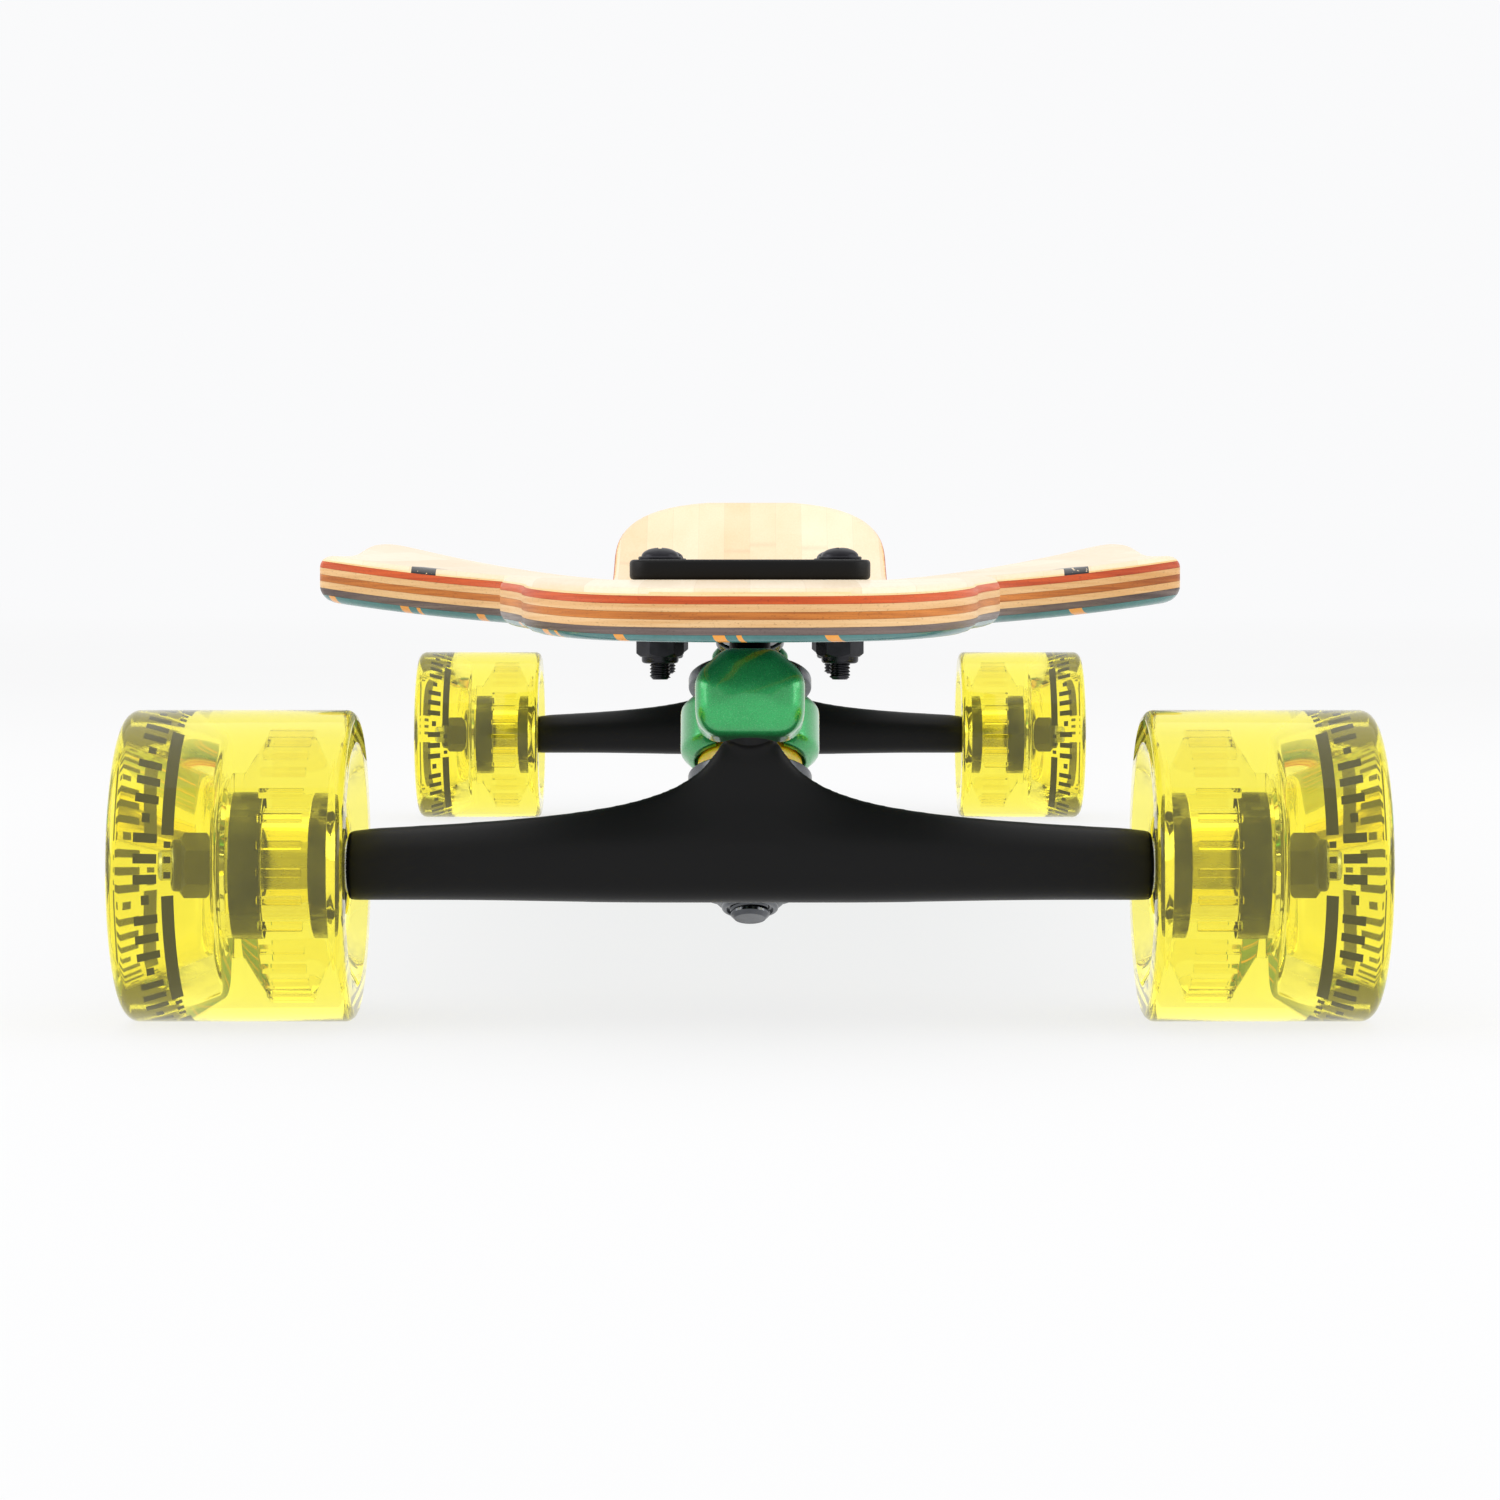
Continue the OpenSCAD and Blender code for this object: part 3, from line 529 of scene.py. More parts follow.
def bamboo_finish():
    finish = Finish("lacquered_bamboo", Coat_Weight=0.35, Coat_Roughness=0.16, Roughness=0.42)
    x, y, z = finish.axes(finish.place())
    strip_w = 0.0115
    strip = (x / strip_w).maths("FLOOR")
    tone = finish.node("TexWhiteNoise", {"noise_dimensions": "1D"}, {"W": strip + 3.3}, out="Value")
    length = (y / 0.31 + tone * 7.0).maths("FLOOR")
    piece_tone = finish.node("TexWhiteNoise", {"noise_dimensions": "1D"}, {"W": strip * 7.7 + length}, out="Value")
    fibre = finish.noise(finish.place((1, 0.018, 1)), 1500, 4, 0.6)
    broad = finish.noise(finish.place((1, 0.09, 1)), 60, 3)
    along = (y / 0.31 + tone * 7.0).maths("FRACT")
    knuckle = finish.spread((along - 0.5).maths("ABSOLUTE"), 0.0, 0.009, 1.0, 0.0) * 0.16
    seam = finish.spread(((x / strip_w).maths("FRACT") - 0.5).maths("ABSOLUTE"), 0.485, 0.5) * 0.16
    share = finish.spread(piece_tone * 0.34 + fibre * 0.34 + broad * 0.4, 0.3, 0.9)
    wood = finish.tint(share, rgb(247, 229, 196), rgb(229, 196, 146))
    wood = finish.tint(knuckle + seam, wood, rgb(178, 128, 74))
    finish.set(Base_Color=finish.tint(ink_marks(finish), wood, INK_BLACK))
    finish.bump(fibre - seam, 0.10, 0.00015)
    return finish.material


def teal_finish():
    finish = Finish("teal_stain", Coat_Weight=0.55, Coat_Roughness=0.12, Roughness=0.36)
    x, y, z = finish.axes(finish.place())
    fibre = finish.noise(finish.place((1, 0.03, 1)), 900, 4, 0.6)
    cloud = finish.noise(finish.place((1, 0.35, 1)), 22, 4, 0.6)
    stain = finish.tint(finish.spread(cloud * 0.6 + fibre * 0.4, 0.3, 0.7), rgb(38, 104, 104), rgb(70, 140, 138))
    slant = x * 0.9 - y * 0.44
    wide = ((slant / 0.0205).maths("FRACT") - 0.5).maths("ABSOLUTE") < 0.055
    narrow = (((slant + 0.0065) / 0.041).maths("FRACT") - 0.5).maths("ABSOLUTE") < 0.012
    stripe = finish.node("Math", {"operation": "MAXIMUM"}, {0: wide, 1: narrow})
    colour = finish.tint(stripe, stain, finish.tint(fibre, rgb(255, 178, 58), rgb(240, 148, 34)))
    finish.set(Base_Color=colour)
    finish.bump(fibre, 0.08, 0.0002)
    return finish.material


PLIES = {
    "top_veneer": ("bamboo_veneer", bamboo_finish()),
    "ply_2": ("red_ply", ply_finish("red_maple", rgb(224, 98, 36), rgb(176, 62, 16))),
    "ply_3": ("light_ply", ply_finish("light_maple", rgb(244, 202, 148), rgb(220, 164, 102))),
    "ply_4": ("brown_ply", ply_finish("brown_maple", rgb(224, 138, 58), rgb(160, 84, 28))),
    "ply_5": ("light_ply", ply_finish("pale_maple", rgb(244, 206, 154), rgb(222, 170, 110))),
    "ply_6": ("grey_ply", ply_finish("grey_maple", rgb(136, 120, 114), rgb(88, 74, 72))),
    "bottom_veneer": ("teal_veneer", teal_finish()),
}
print("wood finishes", len(PLIES))

# %% [markdown]
# ## The deck's shape
# Seen from above, a drop-through deck is narrow between the wheels, so that they
# can't touch it, and flares out behind them. Its section is flat in the middle and
# its rails curl up. The same functions that shaped the CAD plies shape these: a
# flat grid is pulled up into a sheet, its rim is divided, and every point is then
# carried to its place. The rim is drawn in by a round-over, small at the top and
# larger at the bottom, as a router leaves it.

# %% Deck functions
PLY_T = 1.6
DECK_T = PLY_T * len(PLIES)
FRONT_Y, REAR_Y = axle_y["front"], axle_y["rear"]
NOSE_Y = FRONT_Y - 78
TAIL_Y = REAR_Y + 122
MID_Y = (FRONT_Y + REAR_Y) / 2
DECK_W, WING_W, NECK_W, NOSE_W, TAIL_W = 236, 206, 112, 98, 120
FLAT_HALF, CONCAVE_RISE, CONCAVE_POWER, CONCAVE_SHARE = 28, 12.8, 1.8, 0.68
FLARE_START, FLARE_LEN = 32, 30
END_ROUND, NOSE_BLUNT, TAIL_BLUNT, END_TURN, END_TAPER = 44, 2.5, 3, math.radians(9), 40
NOSE_DROP, NOSE_FLAT = 2, FRONT_Y + 7
TAIL_RISE, TAIL_FLAT, TAIL_POWER = 38, REAR_Y + 40, 1.7
TOP_ROUND, BOTTOM_ROUND = 3.4, 3.6


def ease(t):
    t = min(max(t, 0.0), 1.0)
    return t * t * (3 - 2 * t)


def body_half(inwards, end_w):
    middle = (REAR_Y - FRONT_Y) / 2 - FLARE_START - FLARE_LEN
    flare = (WING_W - NECK_W) / 2 * ease((inwards - FLARE_START) / FLARE_LEN)
    belly = (DECK_W - WING_W) / 2 * ease((inwards - FLARE_START - FLARE_LEN) / middle)
    return NECK_W / 2 + flare + belly + (end_w - NECK_W) / 2 * ease(-inwards / END_TAPER)


def end_share(distance, blunt):
    if distance >= END_ROUND:
        return 1.0
    return (1 - ((1 - max(distance, 0) / END_ROUND) * math.cos(END_TURN)) ** blunt) ** (1 / blunt)


def half_at(y):
    if y < MID_Y:
        return body_half(y - FRONT_Y, NOSE_W) * end_share(y - NOSE_Y, NOSE_BLUNT)
    return body_half(REAR_Y - y, TAIL_W) * end_share(TAIL_Y - y, TAIL_BLUNT)


def rise_at(y):
    if y < NOSE_FLAT:
        return -NOSE_DROP * ((NOSE_FLAT - y) / (NOSE_FLAT - NOSE_Y)) ** 2
    if y > TAIL_FLAT:
        return TAIL_RISE * ((y - TAIL_FLAT) / (TAIL_Y - TAIL_FLAT)) ** TAIL_POWER
    return 0.0


def concave_at(x, y):
    if abs(x) <= FLAT_HALF:
        return 0.0
    reach = (REAR_Y - FRONT_Y) / 2 - FLARE_START - FLARE_LEN
    lift = CONCAVE_SHARE + (1 - CONCAVE_SHARE) * ease(1 - abs(y - MID_Y) / reach)
    return CONCAVE_RISE * lift * ((abs(x) - FLAT_HALF) / (DECK_W / 2 - FLAT_HALF)) ** CONCAVE_POWER


def deck_point(x, y, depth):
    """A point of the deck at a depth below its top face, in millimetres."""
    slope = (rise_at(y + 0.01) - rise_at(y - 0.01)) / 0.02
    length = math.sqrt(1 + slope * slope)
    return Vector((x, y + depth * slope / length, DECK_TOP + rise_at(y) + concave_at(x, y) - depth / length))


def rim_inset(depth):
    """How far the router has cut the rim back at a depth."""
    inset = 0.0
    for radius, share in ((TOP_ROUND, depth), (BOTTOM_ROUND, DECK_T - depth)):
        if share < radius:
            inset += radius - math.sqrt(radius * radius - (radius - share) ** 2)
    return inset


print("nose", round(NOSE_Y, 1), "tail", round(TAIL_Y, 1), "widest", 2 * half_at(MID_Y))

# %% [markdown]
# A grid's rows are spread so that they crowd together at the two round ends, where
# the outline turns quickly, and at the flares by the wheels.


# %% Making one ply
COLUMNS = 30
END_ROWS, FLARE_ROWS, NECK_ROWS, BELLY_ROWS = 16, 12, 10, 34


def row_places():
    """Where the rows of the grid lie along the deck."""
    turn = [END_TURN + (math.pi / 2 - END_TURN) * i / END_ROWS for i in range(END_ROWS + 1)]
    curve = [END_ROUND * (1 - math.cos(a) / math.cos(END_TURN)) for a in turn]
    neck = FRONT_Y + FLARE_START - NOSE_Y - END_ROUND
    tail_neck = TAIL_Y - END_ROUND - REAR_Y + FLARE_START
    rows = [NOSE_Y + d for d in curve]
    rows += [NOSE_Y + END_ROUND + neck * i / NECK_ROWS for i in range(1, NECK_ROWS)]
    rows += [FRONT_Y + FLARE_START + FLARE_LEN * i / FLARE_ROWS for i in range(FLARE_ROWS + 1)]
    belly = REAR_Y - FRONT_Y - 2 * (FLARE_START + FLARE_LEN)
    rows += [FRONT_Y + FLARE_START + FLARE_LEN + belly * i / BELLY_ROWS for i in range(1, BELLY_ROWS)]
    rows += [REAR_Y - FLARE_START - FLARE_LEN + FLARE_LEN * i / FLARE_ROWS for i in range(FLARE_ROWS + 1)]
    rows += [REAR_Y - FLARE_START + tail_neck * i / (2 * NECK_ROWS) for i in range(1, 2 * NECK_ROWS)]
    return rows + [TAIL_Y - d for d in reversed(curve)]


ROWS = row_places()


def sheet(top, bottom):
    """One ply between two depths, before its holes are cut."""
    shape = bmesh.new()
    bmesh.ops.create_grid(shape, x_segments=COLUMNS, y_segments=len(ROWS) - 1, size=1)
    pulled = bmesh.ops.extrude_face_region(shape, geom=shape.faces[:])["geom"]
    raised = [item for item in pulled if isinstance(item, bmesh.types.BMVert)]
    bmesh.ops.translate(shape, vec=(0, 0, 1), verts=raised)
    upright = [e for e in shape.edges if abs(e.verts[0].co.z - e.verts[1].co.z) > 0.5]
    bmesh.ops.subdivide_edges(shape, edges=upright, cuts=3, use_grid_fill=True)
    bmesh.ops.recalc_face_normals(shape, faces=shape.faces)
    for vert in shape.verts:
        across, along, share = vert.co
        depth = bottom + (top - bottom) * share
        inset = rim_inset(depth)
        row = (along + 1) / 2 * (len(ROWS) - 1)
        y = ROWS[round(row)]
        shrink = 1 - inset / (TAIL_Y - MID_Y)
        vert.co = deck_point(across * (half_at(y) - inset), MID_Y + (y - MID_Y) * shrink, depth)
    return shape


def deck_cutter():
    """The eight bolt holes and the two slots that the baseplates drop through."""
    tools = []
    for side in SIDES:
        flip = 1 if side == "front" else -1
        at = Matrix.Translation((0, axle_y[side], DECK_TOP - 30)) @ Matrix.Diagonal((1, flip, 1, 1))
        slot = plate(rounded((-SLOT_HALF, SLOT_FRONT, 4), (SLOT_HALF, SLOT_FRONT, 4), (SLOT_HALF, SLOT_BACK, 4), (-SLOT_HALF, SLOT_BACK, 4)), 60)
        tools.append(moved(slot, at))
        for x, y in BOLTS:
            hole = lathe([(0, 0), (2.7, 0), (2.7, 60), (0, 60)], 24, ring=False)
            tools.append(moved(hole, at, Matrix.Translation((x, y, 0))))
    return joined(*tools)


ROW_1, GAP_X, GAP_Y = 22, 41.28, 63.5
BOLTS = [(sx * GAP_X / 2, ROW_1 + sy * GAP_Y) for sx in (-1, 1) for sy in (0, 1)]
SLOT_FRONT, SLOT_BACK, SLOT_HALF = ROW_1 + 1, ROW_1 + GAP_Y - 8, GAP_X / 2 - 7.2
GLUE = 0.02
RIM = ply_finish("sawn_bamboo", rgb(253, 224, 170), rgb(234, 188, 122), inked=True)
for index, (node, (slot, material)) in enumerate(PLIES.items()):
    ply = carve(sheet(index * PLY_T + GLUE, (index + 1) * PLY_T - GLUE), deck_cutter())
    skins = [material, RIM] if node == "top_veneer" else [material]
    for face in ply.faces:
        face.material_index = int(len(skins) > 1 and face.normal.z < 0.72)
    piece = finished(ply, f"{node}_sheet", "root", skins, Matrix.Scale(MM, 4), (node,), crease=40)
    print(piece.name, len(piece.data.polygons), "faces")

# %% [markdown]
# ## Metal finishes
# The hanger and baseplate are cast aluminium under a satin black powder coat: an
# almost flat black with a faint orange-peel surface. The link wears a green flake
# paint. Bolts and nuts are black oxide steel with a slight oily sheen, and the
# kingpins, washers and axle are zinc-plated, with the fine rings of the lathe.


# %% Powder coat, flake paint and steels
def powder_black():
    finish = Finish("satin_powder_coat", Specular_IOR_Level=0.12, Coat_Weight=0.12, Coat_Roughness=0.4)
    peel = finish.noise(finish.place(), 1400, 2, 0.5)
    patch = finish.noise(finish.place(), 55, 3)
    finish.set(Base_Color=finish.tint(patch, rgb(7, 7, 8), rgb(13, 13, 14)))
    finish.set(Roughness=finish.spread(patch * 0.6 + peel * 0.4, 0.3, 0.7, 0.36, 0.47))
    return finish.bump(peel, 0.16, 0.00012).material


def flake_green():
    finish = Finish("green_flake", Metallic=0.8, Coat_Weight=1.0, Coat_Roughness=0.08)
    flakes = finish.node("TexVoronoi", {"feature": "F1"}, {"Vector": finish.place(), "Scale": 9000}, out="Color")
    red, green, blue = finish.axes(flakes)
    patch = finish.noise(finish.place(), 60, 2)
    base = finish.tint(finish.spread(green * 0.35 + patch * 0.65, 0.2, 0.8), rgb(14, 136, 66), rgb(50, 190, 104))
    sparkle = finish.spread(red, 0.9, 1.0)
    finish.set(Base_Color=finish.tint(sparkle * 0.35, base, rgb(150, 232, 170)))
    finish.set(Roughness=finish.spread(blue, 0, 1, 0.27, 0.36))
    return finish.bump(green, 0.06, 0.00003).material


def steel(name, pale, dark, low, high, metallic=1.0):
    finish = Finish(name, Metallic=metallic)
    rings = finish.noise(finish.place((0.2, 1, 1)), 1900, 3, 0.6)
    smear = finish.noise(finish.place(), 130, 3)
    finish.set(Base_Color=finish.tint(finish.spread(smear, 0.3, 0.7), pale, dark))
    finish.set(Roughness=finish.spread(rings * 0.5 + smear * 0.5, 0.3, 0.7, low, high))
    return finish.bump(rings, 0.12, 0.00005).material


POWDER = powder_black()
FLAKE = flake_green()
BLACK_OXIDE = steel("black_oxide", rgb(62, 62, 66), rgb(42, 42, 45), 0.26, 0.42)
ZINC = steel("zinc_plate", rgb(196, 198, 202), rgb(160, 163, 170), 0.18, 0.34)
# A darker copy of the zinc plate, used for the kingpin washers and lock nuts.
DARKENED_ZINC = steel("darkened_zinc", rgb(120, 122, 126), rgb(76, 78, 82), 0.2, 0.36)
DARK_STEEL = steel("dark_steel", rgb(104, 106, 110), rgb(66, 68, 72), 0.12, 0.26)
print("metals ready")

# %% [markdown]
# ## Urethane and plastic
# The wheels are poured from clear yellow urethane, and let the light through with
# a slight depth to their colour: the surface bends light as plastic does, and a
# thin absorption inside makes thick parts deeper. A faint painted glow, an emission
# in the same yellow, also makes them shine a little though they are no lamp. The
# bushings are cloudier, so they scatter light below their skin. The core is glassy
# plastic, and the pivot cups are waxy white acetal.


# %% Wheel, bushing, core and cup finishes
def clear_urethane():
    finish = Finish("clear_urethane", Transmission_Weight=0.975, IOR=1.42, Emission_Strength=0.03)
    swirl = finish.noise(finish.place(), 38, 2)
    fine = finish.noise(finish.place(), 420, 2)
    yellow_and_painted_glow = finish.tint(swirl, rgb(255, 248, 130), rgb(255, 245, 116))
    # The same yellow feeds the emission: with Emission_Strength 0.03 it is a faint painted glow.
    finish.set(Base_Color=yellow_and_painted_glow, Emission_Color=yellow_and_painted_glow)
    finish.set(Roughness=finish.spread(fine, 0.3, 0.7, 0.015, 0.05))
    depth = finish.tree.nodes.new("ShaderNodeVolumeAbsorption")
    depth.inputs["Color"].default_value = (1.0, 0.98, 0.19, 1)
    depth.inputs["Density"].default_value = 16
    finish.tree.links.new(depth.outputs[0], finish.output.inputs["Volume"])
    return finish.material


def cloudy_urethane():
    finish = Finish("cloudy_urethane", Subsurface_Weight=0.6, Subsurface_Scale=0.004, Coat_Weight=0.2)
    finish.set(Base_Color=finish.tint(finish.noise(finish.place(), 90, 2), rgb(250, 214, 30), rgb(240, 192, 14)))
    finish.set(Roughness=finish.spread(finish.noise(finish.place(), 500, 2), 0.3, 0.7, 0.3, 0.42))
    return finish.bump(finish.noise(finish.place(), 700, 2), 0.05, 0.0001).material


def core_plastic():
    finish = Finish("core_plastic", Transmission_Weight=1.0, IOR=1.05)
    fine = finish.noise(finish.place(), 260, 2)
    finish.set(Base_Color=finish.tint(fine, rgb(254, 252, 232), rgb(250, 247, 222)))
    finish.set(Roughness=finish.spread(fine, 0.3, 0.7, 0.04, 0.12))
    return finish.material


def acetal():
    finish = Finish("black_acetal", Specular_IOR_Level=0.3)
    fine = finish.noise(finish.place(), 600, 2)
    finish.set(Base_Color=finish.tint(fine, rgb(26, 27, 28), rgb(36, 36, 38)))
    finish.set(Roughness=finish.spread(fine, 0.3, 0.7, 0.35, 0.5))
    return finish.bump(fine, 0.06, 0.0001).material


URETHANE = clear_urethane()
BUSHING = cloudy_urethane()
CORE = core_plastic()
ACETAL = acetal()
INK = steel("black_ink", rgb(20, 20, 20), rgb(32, 32, 32), 0.4, 0.55, metallic=0.0)
print("plastics ready")

# %% [markdown]
# ## The hanger
# The hanger is the black T-shaped casting that holds the axle. Its arms are round
# bars, and its top edge sweeps up in a long hollow curve to a neck, whose nose
# sits in the link. Behind, two cheeks reach down to a ring that the lower bushings
# clamp. The arms and neck are a loft: a row of rounded rings along X joined by
# faces. Loft, cheeks, ring and nose are melted together, so that they meet in the
# fillets of a real casting, and the holes are carved last to stay crisp.

# %% Sizes shared by the truck parts, in millimetres
K1, K2 = 10, 40
RING1_H, RING1_T, RING1_R = 35.5, 8, 16
RING2_T, RING2_R = 6.8, 14
KINGPIN_R, RING_HOLE_R = 4.75, 7.5
UPPER_BUSHING, LOWER_BUSHING, BUSHING_R = 9, 7, 12
WASHER_T, WASHER_R, WASHER2_T, WASHER2_R = 1.5, 14.2, 1.2, 13
SEAT1_H = RING1_H + RING1_T / 2 + UPPER_BUSHING + WASHER_T
LOW1_H = RING1_H - RING1_T / 2 - UPPER_BUSHING - WASHER_T
SEAT2_H = RING1_H - RING1_T / 2
RING2_H = SEAT2_H - WASHER2_T - LOWER_BUSHING - RING2_T / 2
LOW2_H = RING2_H - RING2_T / 2 - LOWER_BUSHING - WASHER2_T
LINK_TOP = RING1_H + RING1_T / 2
CUP2 = Vector((0, -8, 35))
ON_AXIS_2 = Matrix.Translation(CUP2) @ Matrix.Rotation(-LEAN_2, 4, "X")
ALONG_Y = Matrix.Rotation(math.radians(-90), 4, "X")
ALONG_X = Matrix.Rotation(math.radians(90), 4, "Y")
PIVOT1 = K2 + 24
NOSE1_R, NOSE2_R = 5.5, 6.2
CUP1_R, CUP2_R = 8.6, 8.8
ARM_R, UNDER, NECK_TOP = 7.8, 8.4, 30
AXLE_R = 3.97


def hanger_top(x):
    return ARM_R + 226 / (abs(x) + 4.75) - 0.022 * abs(x)


def rod(radius, start, stop, steps=48, round_end=False):
    """A rod along Z, with a half-ball at its far end if it is round."""
    tip = [(radius * math.cos(a), stop + radius * math.sin(a)) for a in (math.radians(11.25 * i) for i in range(8))]
    end = tip + [(0, stop + radius)] if round_end else [(radius, stop), (0, stop)]
    return lathe([(0, start), (radius, start)] + end, steps, ring=False)


def tower(x, y, z):
    return Matrix.Translation((x, y, z))


def hanger_loft():
    """Rings along X, narrow on the arms and tall at the neck, joined into one skin."""
    shape = bmesh.new()
    half = 6.44
    xs = [half + (HANGER_HALF - half) * (i / 24) ** 1.9 for i in range(25)]
    loops = []
    for x in [-v for v in reversed(xs)] + [-half / 2, 0, half / 2] + xs:
        ring = bmesh.ops.create_circle(shape, cap_ends=False, radius=1, segments=36)["verts"]
        top = min(NECK_TOP, hanger_top(x)) if abs(x) < HANGER_HALF - 6 else ARM_R
        under = ARM_R + (UNDER - ARM_R) * ease(1 - (abs(x) - 20) / 50)
        for vert in ring:
            up = vert.co.y
            height = up * (top if up > 0 else under)
            thin = 1 - 0.42 * ease((height - 4) / 16)
            vert.co = (x, vert.co.x * ARM_R * thin - 3.4 * ease((height - 6) / 22), height)
        loops.append({edge for vert in ring for edge in vert.link_edges})
    for first, second in zip(loops, loops[1:]):
        bmesh.ops.bridge_loops(shape, edges=list(first | second))
    bmesh.ops.holes_fill(shape, edges=[e for e in shape.edges if e.is_boundary], sides=0)
    bmesh.ops.recalc_face_normals(shape, faces=shape.faces)
    return shape


def cheek(x):
    """One of the two ribs that join the beam to the ring."""
    outline = [(-4, -4.8), (14, -3), (24, 3), (27, RING2_H - 3.4), (34, RING2_H - 3.4)]
    outline += [(34, RING2_H + 3.4), (27, RING2_H + 3.4), (18, 8.8), (6, 6.8), (-4, 5.8)]
    side = Matrix.Rotation(math.radians(90), 4, "Z") @ Matrix.Rotation(math.radians(90), 4, "X")
    return moved(soften(plate(outline, 6), 1.2, 2), LEANING, tower(x - 3, 0, 0), side)


def hanger(side):
    nose = moved(rod(NOSE2_R, -9, 0, round_end=True), ON_AXIS_2, Matrix.Rotation(math.radians(90), 4, "X"))
    ring = moved(rod(RING2_R, RING2_H - RING2_T / 2, RING2_H + RING2_T / 2), LEANING, tower(0, K2, 0))
    shape = cast(joined(hanger_loft(), nose, cheek(11.5), cheek(-11.5), ring), 0.75, 9)
    hole = moved(rod(RING_HOLE_R, RING2_H - 20, RING2_H + 20), LEANING, tower(0, K2, 0))
    bore = moved(rod(AXLE_R + 0.05, -HANGER_HALF - 5, HANGER_HALF + 5, 40), ALONG_X)
    shape = carve(shape, joined(hole, bore))
    for x in (-1, 1):
        everything = shape.verts[:] + shape.edges[:] + shape.faces[:]
        bmesh.ops.bisect_plane(shape, geom=everything, plane_co=(x * (HANGER_HALF - 0.35), 0, 0), plane_no=(x, 0, 0), clear_outer=True)
    rim = [edge for edge in shape.edges if edge.is_boundary]
    pulled = bmesh.ops.extrude_edge_only(shape, edges=rim)["geom"]
    for vert in [item for item in pulled if isinstance(item, bmesh.types.BMVert)]:
        radius = math.hypot(vert.co.y, vert.co.z)
        size = (radius - 0.35) / radius if radius > AXLE_R + 1 else (radius + 0.2) / radius
        vert.co = (math.copysign(HANGER_HALF, vert.co.x), vert.co.y * size, vert.co.z * size)
    rim = [edge for edge in shape.edges if edge.is_boundary]
    for x in (-1, 1):
        bmesh.ops.bridge_loops(shape, edges=[e for e in rim if e.verts[0].co.x * x > 0])
    bmesh.ops.recalc_face_normals(shape, faces=shape.faces)
    return finished(shape, f"{side}_hanger_casting", f"{side}_steerer", POWDER, truck_frame(side), (f"{side}_hanger",), 40)


for side in SIDES:
    print(hanger(side).name)

# %% [markdown]
# ## The link
# The link is the green middle piece of a double-kingpin truck. Its big ring is
# clamped by the upper bushings, its tail nose turns in the baseplate's cup, the
# lower kingpin hangs from its waist, and its round front boss holds the cup for
# the hanger's nose. It is melted from the same kind of simple shapes.


# %% The link
def boss():
    """The front boss: a block with broad rounded shoulders."""
    outline = rounded((-12, -9.4, 5.5), (12, -9.4, 5.5), (12.2, 4.4, 6), (5.6, 10.4, 4.5), (-5.6, 10.4, 4.5), (-12.2, 4.4, 6), steps=7)
    shape = plate(outline, 18)
    front = [e for e in shape.edges if all(v.co.z > 17.9 for v in e.verts)]
    bmesh.ops.bevel(shape, geom=front, offset=7, offset_type="OFFSET", segments=9, profile=0.5, affect="EDGES", material=-1, clamp_overlap=True)
    crown = max(shape.faces, key=lambda face: face.calc_center_median().z)
    for share in (0.86, 0.8, 0.7, 0.5):
        crown = bmesh.ops.extrude_discrete_faces(shape, faces=[crown])["faces"][0]
        bmesh.ops.scale(shape, vec=(share, share, 1), verts=crown.verts)
    for vert in shape.verts:
        if vert.co.z > 8:
            vert.co.z -= 0.03 * vert.co.y ** 2 + 0.008 * vert.co.x ** 2
    return moved(shape, tower(0, -3.4, 37), Matrix.Rotation(-0.17, 4, "X"), Matrix.Rotation(math.radians(90), 4, "X"))


def link(side):
    level = SEAT2_H
    waist = moved(plate([(-12, K1), (12, K1), (12, K2), (-12, K2)], RING1_T), LEANING, tower(0, 0, level))
    tongue = moved(plate([(-11, K1 - 26), (11, K1 - 26), (11, K1), (-11, K1)], RING1_T), LEANING, tower(0, 0, level))
    ring_1 = soften(rod(RING1_R, 0, RING1_T + 6.5, 64), 2.2, 1)
    ring_2 = soften(rod(RING2_R, 0, RING1_T, 64), 1.2, 2)
    root = moved(plate([(-9, K2), (9, K2), (9, K2 + 14.5), (-9, K2 + 14.5)], RING1_T), LEANING, tower(0, 0, level))
    tail = moved(rod(NOSE1_R + 1.5, K2 + 14, PIVOT1 - 8.5), LEANING, tower(0, 0, RING1_H), ALONG_Y)
    tip = moved(rod(NOSE1_R, PIVOT1 - 10, PIVOT1, round_end=True), LEANING, tower(0, 0, RING1_H), ALONG_Y)
    parts = [waist, tongue, moved(ring_1, LEANING, tower(0, K1, level - 2.6)), moved(ring_2, LEANING, tower(0, K2, level)), root, tail, tip, boss()]
    shape = cast(joined(*parts), 0.6, 5)
    tools = [
        moved(rod(RING_HOLE_R, level - 1, level + 40), LEANING, tower(0, K1, 0)),
        moved(rod(KINGPIN_R + 0.02, level - 1, level + 40), LEANING, tower(0, K2, 0)),
        moved(rod(CUP2_R - 0.8, -9, 5), ON_AXIS_2, ALONG_Y),
        moved(rod(NOSE2_R + 2.2, 4.6, 40), ON_AXIS_2, ALONG_Y),
        moved(rod(BUSHING_R + 0.7, LINK_TOP - 0.1, LINK_TOP + 30), LEANING, tower(0, K1, 0)),
        moved(rod(BUSHING_R + 0.7, level - 6, level + 0.1), LEANING, tower(0, K1, 0)),
        moved(rod(WASHER_R + 2.1, SEAT1_H - 5.1, LINK_TOP + 30), LEANING, tower(0, K1, 0)),
    ]
    for tool in tools:
        shape = carve(shape, tool)
    return finished(shape, f"{side}_link_casting", f"{side}_swivel", FLAKE, truck_frame(side), (f"{side}_link",), 40)


for side in SIDES:
    print(link(side).name)

# %% [markdown]
# ## The baseplate
# The baseplate drops through the deck from above. Its flange is a plate with
# rounded corners that lies on top, its block fills the slot, and below hang the
# seat of the upper washer and a leg that carries the pivot cup.


# %% The baseplate
FLANGE_T, FLANGE_HALF = 4.6, 27.5
TRUCK_H = DECK_TOP - AXLE_Z
DECK_UNDER = TRUCK_H - DECK_T


